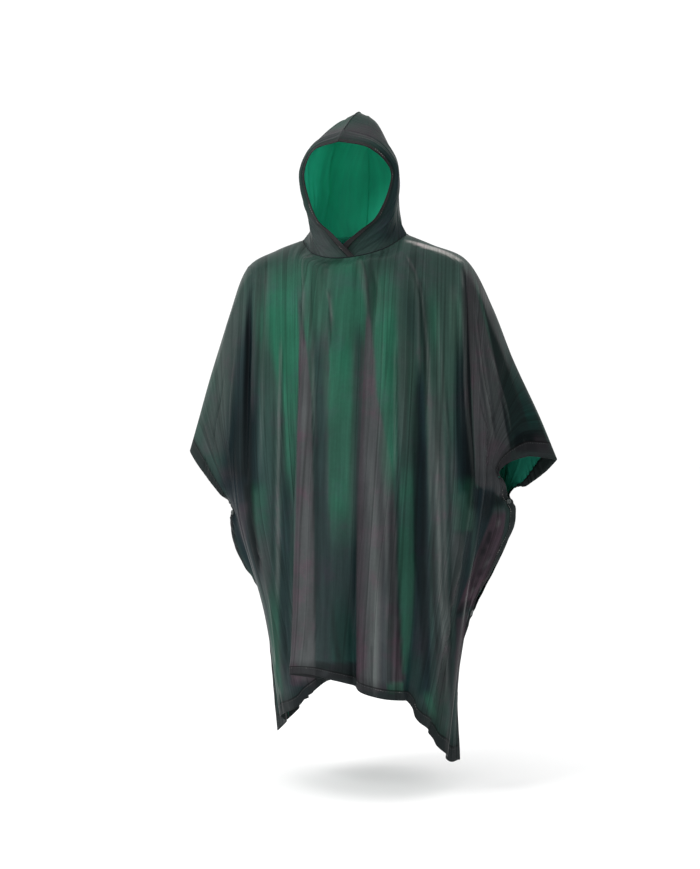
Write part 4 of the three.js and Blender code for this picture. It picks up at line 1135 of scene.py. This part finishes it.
hood_folds = {
    -1: [
        crease(3.5, 1.4, (0.07, 0.55), (0.085, 0.78), (0.075, 0.97)),
        crease(4.5, -1.8, (0.12, 0.62), (0.14, 0.82), (0.12, 0.985)),
        crease(4, 1.6, (0.18, 0.68), (0.2, 0.85), (0.17, 0.98)),
        crease(5, 2, (0.06, 0.2), (0.1, 0.32), (0.2, 0.42)),
        crease(5, -2.2, (0.07, 0.12), (0.14, 0.22), (0.26, 0.3)),
        crease(8, -2.6, (0.3, 0.3), (0.34, 0.5), (0.3, 0.72)),
        crease(8, 2.4, (0.45, 0.1), (0.47, 0.3), (0.44, 0.55)),
        crease(9, -2.6, (0.62, 0.1), (0.66, 0.4), (0.6, 0.7)),
        crease(8, 2.4, (0.8, 0.05), (0.78, 0.35), (0.82, 0.6)),
        crease(6, -1.8, (0.25, 0.86), (0.4, 0.92), (0.6, 0.9)),
        crease(4, 1.8, (0.1, 0.04), (0.16, 0.12), (0.2, 0.2)),
        crease(4, 1.6, (0.36, 0.04), (0.38, 0.14)),
        crease(4, -1.6, (0.52, 0.04), (0.55, 0.16)),
        crease(4, 1.6, (0.7, 0.03), (0.69, 0.14)),
    ],
    1: [
        crease(3.5, -1.4, (0.065, 0.5), (0.08, 0.72), (0.07, 0.95)),
        crease(4.5, 1.6, (0.11, 0.58), (0.13, 0.78), (0.12, 0.98)),
        crease(4, -1.6, (0.17, 0.62), (0.2, 0.8), (0.19, 0.97)),
        crease(5, -2, (0.07, 0.24), (0.12, 0.36), (0.22, 0.44)),
        crease(5, 2.2, (0.08, 0.1), (0.15, 0.2), (0.24, 0.3)),
        crease(8, 2.6, (0.28, 0.34), (0.32, 0.54), (0.3, 0.76)),
        crease(8, -2.4, (0.42, 0.12), (0.45, 0.34), (0.42, 0.6)),
        crease(9, 2.4, (0.58, 0.1), (0.62, 0.36), (0.6, 0.66)),
        crease(8, -2.4, (0.76, 0.06), (0.75, 0.3), (0.8, 0.6)),
        crease(6, 1.8, (0.22, 0.88), (0.38, 0.9), (0.58, 0.93)),
        crease(4, -1.8, (0.12, 0.03), (0.2, 0.12)),
        crease(4, -1.6, (0.33, 0.04), (0.36, 0.15)),
        crease(4, 1.6, (0.5, 0.04), (0.5, 0.15)),
        crease(4, -1.6, (0.72, 0.03), (0.7, 0.15)),
    ],
}
# Tones of the hood, brushed like the front's: painted shade over the crown, over the whole hood and down the
# side on the wearer's left, a faint painted green glow near the top, grey on the chin lap, and plum where the
# face hem lies doubled.
hood_painted_light_and_tones = [
    stroke("deep", 0.45, (99, 99), (12, 54), (-9, 269, 112.5), (-9, 211, 112.5)),
    stroke("deep", 0.35, (43, 43), (41, 29), (82, 195, 20.5), (90, 123, 22.2), (86, -1, 23.9)),
    stroke("navy_shade", 0.3, (132, 132), (16, 41), (-9, 252, 150), (-9, -42, 150)),
    stroke("navy_shade", 0.45, (76, 76), (41, 21), (70, 174, 27.4), (80, -11, 51.3)),
    stroke("grey", 0.5, (46, 46), (29, 12), (-75, 61, 20.5), (-75, -57, 27.4)),
    stroke("plum", 0.5, (99, 99), (16, 21), (-9, 236, 112.5), (-9, 193, 112.5)),
    stroke("green", 0.2, (53, 53), (12, 16), (-37, 261, 23.9), (-37, 224, 30.8)),
    stroke("deep", 0.35, (26, 26), (21, 29), (45, 240, 13.7), (66, 174, 13.7)),
]
face_hem = (hood_cut_at - face_hem_share * hood_cut[0], 1.0)
no_foot_hem = (2.0, 1.0)
hood_outside = film_outside("hood film", face_hem, no_foot_hem, film_shade(76, 60, 66),
                            through=(*green_light, 0.5), share=0.15)
# The hood's inside green is set bright in the same way: partly its own clear green, partly painted light.
hood_inside = film_inside("hood inside", np.array([0.013, 0.235, 0.145]), share=0.3)
hood_steps = {"across": 130, "up": 150}
hood_hems = {}


def hood_layer(name, side, columns, rows, under, materials):
    """A layer of film that follows one half of the hood."""
    w, t = (g.ravel() for g in np.meshgrid(columns, rows))
    cut = np.stack([hood_cut_at - w * hood_cut[0], t * hood_cut[1]], axis=1)
    points = hood_points(side, w, t, under)
    colours = film_colours(points, hood_painted_light_and_tones, photo_turn, 0 * w, 0 * w)
    piece = sheet_mesh(name, points, columns, rows, cut, colours, -side)
    thicken(piece, film_thickness, materials)
    return piece


for side_name, side in {"right": -1, "left": 1}.items():
    columns = closer_at([(face_hem_share, 0.015)], 0.0, 1.0, hood_steps["across"], closeness=3.0)
    rows = closer_at([(0.0, 0.05)], 0.0, 1.0, hood_steps["up"], closeness=0.8)
    piece = hood_layer(f"hood_{side_name}", side, columns, rows, 0.0, [hood_outside, hood_inside])
    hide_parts(f"hood-{side_name}")
    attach(piece, "root")
    narrow = columns[columns < face_hem_share]
    hem = hood_layer(f"face_hem_{side_name}", side, narrow, rows, hem_under, [hood_inside, hood_outside])
    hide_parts(f"face-hem-{side_name}")
    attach(hem, "root")
    line = hood_points(side, 0 * rows, rows, under=fold_radius)
    edge = rolled_edge(f"face_fold_{side_name}", line, 0.001, fold_finish)
    hood_hems[side] = [hem, edge]

# Seams. The hood is welded to the neck hole all round, and its halves are welded together over
# the crown and down the back. Each weld is a narrow raised line.

weld_finish = film_edge("welded film", film_shade(40, 48, 50))
neck_run = np.linspace(-neck_side, neck_side, 90)
for panel_name, panel in {"front": front, "back": back}.items():
    line = film_points(panel, neck_run, 0 * neck_run, under=-0.0004)
    rolled_edge(f"neck_weld_{panel_name}", line, 0.001, weld_finish)
crown_run = np.linspace(0.2, 1, 80)
down_run = np.linspace(1, 0, 80)
crown_line = hood_points(1, crown_run, np.ones_like(crown_run), under=-0.0003)
back_line = hood_points(1, np.ones_like(down_run), down_run, under=-0.0003)
weld_line = np.concatenate([crown_line, back_line[1:]])
weld_line[:, 0] = 0
rolled_edge("hood_weld", weld_line, 0.0008, weld_finish)
ridge_runs = {"right": np.linspace(-tip_across, -neck_side, 160),
              "left": np.linspace(neck_side, tip_across, 160)}
for side_name, across in ridge_runs.items():
    line = film_points(front, across, 0 * across, under=0.0005)
    rolled_edge(f"shoulder_fold_{side_name}", line, 0.0006, fold_finish)

# Stitches. A dark thread, pale here and there, holds the turned hems down, in short even stitches
# that sink a little into the film.

stitch_pitch = 0.0052
stitch_length = 0.0036
stitch_half_width = 0.00045
stitch_half_height = 0.0004
stitch_rise = 0.0002
stitch_inset = 0.004
face_stitch_inset = 0.006


def solid_material(name):
    """A material with the plain shader of solid things."""
    material = bpy.data.materials.new(name)
    material.use_nodes = True
    return material, material.node_tree, material.node_tree.nodes["Principled BSDF"]


def thread(name, pale, dark):
    """Thread that has taken on the film's colour, pale here and there."""
    material, tree, shader = solid_material(name)
    shader.inputs["Roughness"].default_value = 0.7
    place = add_node(tree, "ShaderNodeTexCoord").outputs["Object"]
    patches = ranged(tree, noise(tree, place, 26.0, detail=3), 0.56, 0.64, 0.0, 1.0)
    tree.links.new(blended(tree, patches, (*dark, 1), (*pale, 1)), shader.inputs["Base Color"])
    return material


thread_finish = thread("hem thread", film_shade(170, 170, 166), film_shade(52, 58, 58))


def at_length(length, along, places):
    return np.array([np.interp(length, along, channel) for channel in places.T])


def sew(stitches, line, out):
    """Short stitches along a line of points."""
    way = np.linalg.norm(np.diff(line, axis=0), axis=1)
    along = np.concatenate([[0], np.cumsum(way)])
    for start in np.arange(stitch_pitch, along[-1] - stitch_pitch, stitch_pitch):
        first, last = (at_length(s, along, line) for s in (start, start + stitch_length))
        up = at_length(start, along, out)
        run = last - first
        across = np.cross(up, run)
        across /= np.linalg.norm(across)
        up = np.cross(run, across)
        up /= np.linalg.norm(up)
        axes = [across * stitch_half_width, up * stitch_half_height, run / 2]
        turn = Matrix(np.stack(axes, axis=1).tolist()).to_4x4()
        middle = Matrix.Translation((first + last) / 2 + up * stitch_rise)
        bmesh.ops.create_uvsphere(stitches, u_segments=6, v_segments=4, radius=1, matrix=middle @ turn)


def sewn(name, runs):
    """One piece with all the stitches of the given runs."""
    stitches = bmesh.new()
    for line, out in runs:
        sew(stitches, line, out)
    for face in stitches.faces:
        face.smooth = True
    piece = mesh_piece(name, stitches)
    piece.data.materials.append(thread_finish)
    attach(piece, "root")
    return piece


for panel_name, (panel, *_) in panels.items():
    stitched = tip_across - side_hem_depth + stitch_inset
    foot = 1 - (foot_hem_depth - stitch_inset) / half_length
    fine_columns = np.linspace(-stitched, stitched, 900)
    fine_rows = np.linspace(0.01, 0.995, 600)
    ways = [(fine_columns, np.full_like(fine_columns, foot)),
            (np.full_like(fine_rows, -stitched), fine_rows), (np.full_like(fine_rows, stitched), fine_rows)]
    runs = [(film_points(panel, *way), square_to(panel, *way)) for way in ways]
    panel_hems[panel_name].append(sewn(f"{panel_name}_stitches", runs))
for side_name, side in {"right": -1, "left": 1}.items():
    up = np.linspace(0.02, 0.99, 300)
    w = np.full_like(up, face_hem_share - face_stitch_inset)
    line = hood_points(side, w, up)
    out = line - hood_points(side, w, up, under=0.001)
    hood_hems[side].append(sewn(f"face_stitches_{side_name}", [(line, out)]))

# Snap fasteners. Round caps of dark moulded plastic, clenched through the side hems. Each front
# one is pressed together with the back one behind it, and a socket fills the gap between them.


def moulded_plastic(name, colour):
    """Dark plastic with fine scuffs."""
    material, tree, shader = solid_material(name)
    place = add_node(tree, "ShaderNodeTexCoord").outputs["Object"]
    scuffs = noise(tree, place, 420.0, detail=4)
    tint = blended(tree, ranged(tree, scuffs, 0.45, 0.75, 0.0, 0.35), (*colour, 1), (*(colour * 3), 1))
    tree.links.new(tint, shader.inputs["Base Color"])
    tree.links.new(ranged(tree, scuffs, 0.3, 0.7, 0.24, 0.42), shader.inputs["Roughness"])
    bump = add_node(tree, "ShaderNodeBump", inputs={"Strength": 0.3, "Distance": 0.0002, "Height": scuffs})
    tree.links.new(bump.outputs["Normal"], shader.inputs["Normal"])
    return material


snap_finish = moulded_plastic("dark moulded plastic", film_shade(44, 54, 53))


def turned(name, profile, centre, out):
    """A round part turned from its profile, set at a centre and facing out."""
    part = bmesh.new()
    verts = [part.verts.new((radius, 0, height)) for radius, height in profile]
    edges = [part.edges.new(pair) for pair in zip(verts[:-1], verts[1:])]
    bmesh.ops.spin(part, geom=verts + edges, cent=(0, 0, 0), axis=(0, 0, 1), angle=2 * np.pi, steps=32,
                   use_merge=True)
    bmesh.ops.remove_doubles(part, verts=part.verts, dist=1e-6)
    bmesh.ops.recalc_face_normals(part, faces=part.faces)
    turn = Vector((0, 0, 1)).rotation_difference(Vector(out)).to_matrix()
    bmesh.ops.rotate(part, verts=part.verts, cent=(0, 0, 0), matrix=turn)
    bmesh.ops.translate(part, verts=part.verts, vec=centre)
    for face in part.faces:
        face.smooth = True
    piece = mesh_piece(name, part)
    piece.data.materials.append(snap_finish)
    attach(piece, "root")
    return piece


# Profiles hold a radius and a height for each turn of the outline.
cap_profile = [(0, 0.0014), (0.0016, 0.0014), (0.0022, 0.0019), (0.0034, 0.0021), (0.0045, 0.0018),
               (0.0053, 0.0012), (0.0059, 0.0011), (0.0060, 0.0007), (0.0059, -0.0001), (0, -0.0001)]
socket_lip = [(0, 0), (0.0048, 0), (0.0052, 0.0006), (0.0050, 0.0014), (0.0034, 0.0022)]
socket_under = 0.0022
for level_name, level in {"upper": levels["waist"], "lower": levels["hip"]}.items():
    for side_name, side in {"right": -1, "left": 1}.items():
        spot = (np.array([side * (tip_across - side_hem_depth / 2)]), np.array([level]))
        backs = []
        for panel_name, (panel, *_) in panels.items():
            out = square_to(panel, *spot)[0]
            centre = film_points(panel, *spot)[0]
            cap = turned(f"{panel_name}_snap_{level_name}_{side_name}", cap_profile, centre, out)
            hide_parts(f"{panel_name}-snap-{level_name}-{side_name}")
            backs.append(centre - out * socket_under)
        gap = np.linalg.norm(backs[1] - backs[0])
        other_lip = [(radius, gap - height) for radius, height in reversed(socket_lip)]
        socket_profile = socket_lip + other_lip
        turned(f"snap_socket_{level_name}_{side_name}", socket_profile, backs[0], (backs[1] - backs[0]) / gap)

# Camera. It stands level with the middle of the garment, a little to the wearer's left.

camera = bpy.data.objects.new("camera", bpy.data.cameras.new("camera"))
camera.location = (0.980, -3.464, -0.412)
camera.rotation_euler = (np.pi / 2, 0, photo_turn)
camera.data.lens = 70.35
camera.data.sensor_width = 36
camera.data.sensor_fit = "AUTO"
bpy.context.scene.collection.objects.link(camera)
bpy.context.scene.camera = camera

# Each panel is half of one cut that tapers from the sleeves to the bottom hem, and each half of
# the hood is a cut of its own.

# Studio. A plain pale floor, a pale room, and two large soft lights: one above and one high up in
# front, on the wearer's right.

floor_level = -1.16
floor = bmesh.new()
bmesh.ops.create_grid(floor, x_segments=1, y_segments=1, size=40)
bmesh.ops.translate(floor, verts=floor.verts, vec=(0, 0, floor_level))
studio_floor = mesh_piece("studio_floor", floor)
pale_floor, _, pale_shader = solid_material("pale floor")
pale_shader.inputs["Base Color"].default_value = (0.96, 0.96, 0.96, 1)
pale_shader.inputs["Roughness"].default_value = 1.0
pale_shader.inputs["Specular IOR Level"].default_value = 0.0
studio_floor.data.materials.append(pale_floor)

world = bpy.data.worlds.new("pale room")
world.use_nodes = True
world.node_tree.nodes["Background"].inputs["Color"].default_value = (1, 1, 1, 1)
world.node_tree.nodes["Background"].inputs["Strength"].default_value = 1.06
bpy.context.scene.world = world


def soft_light(name, place, aim, width, length, power):
    """A rectangular light that points at the aim."""
    lamp = bpy.data.lights.new(name, "AREA")
    lamp.shape = "RECTANGLE"
    lamp.size = width
    lamp.size_y = length
    lamp.energy = power
    light = bpy.data.objects.new(name, lamp)
    light.location = place
    light.rotation_euler = (Vector(aim) - Vector(place)).to_track_quat("-Z", "Y").to_euler()
    bpy.context.scene.collection.objects.link(light)


soft_light("key", place=(-2.0, -2.4, 1.2), aim=(0, 0, -0.4), width=1.6, length=1.6, power=70)
soft_light("top", place=(0.2, -0.6, 2.2), aim=(0, 0, -0.2), width=2.4, length=1.6, power=20)
bpy.context.scene.view_settings.view_transform = "Standard"
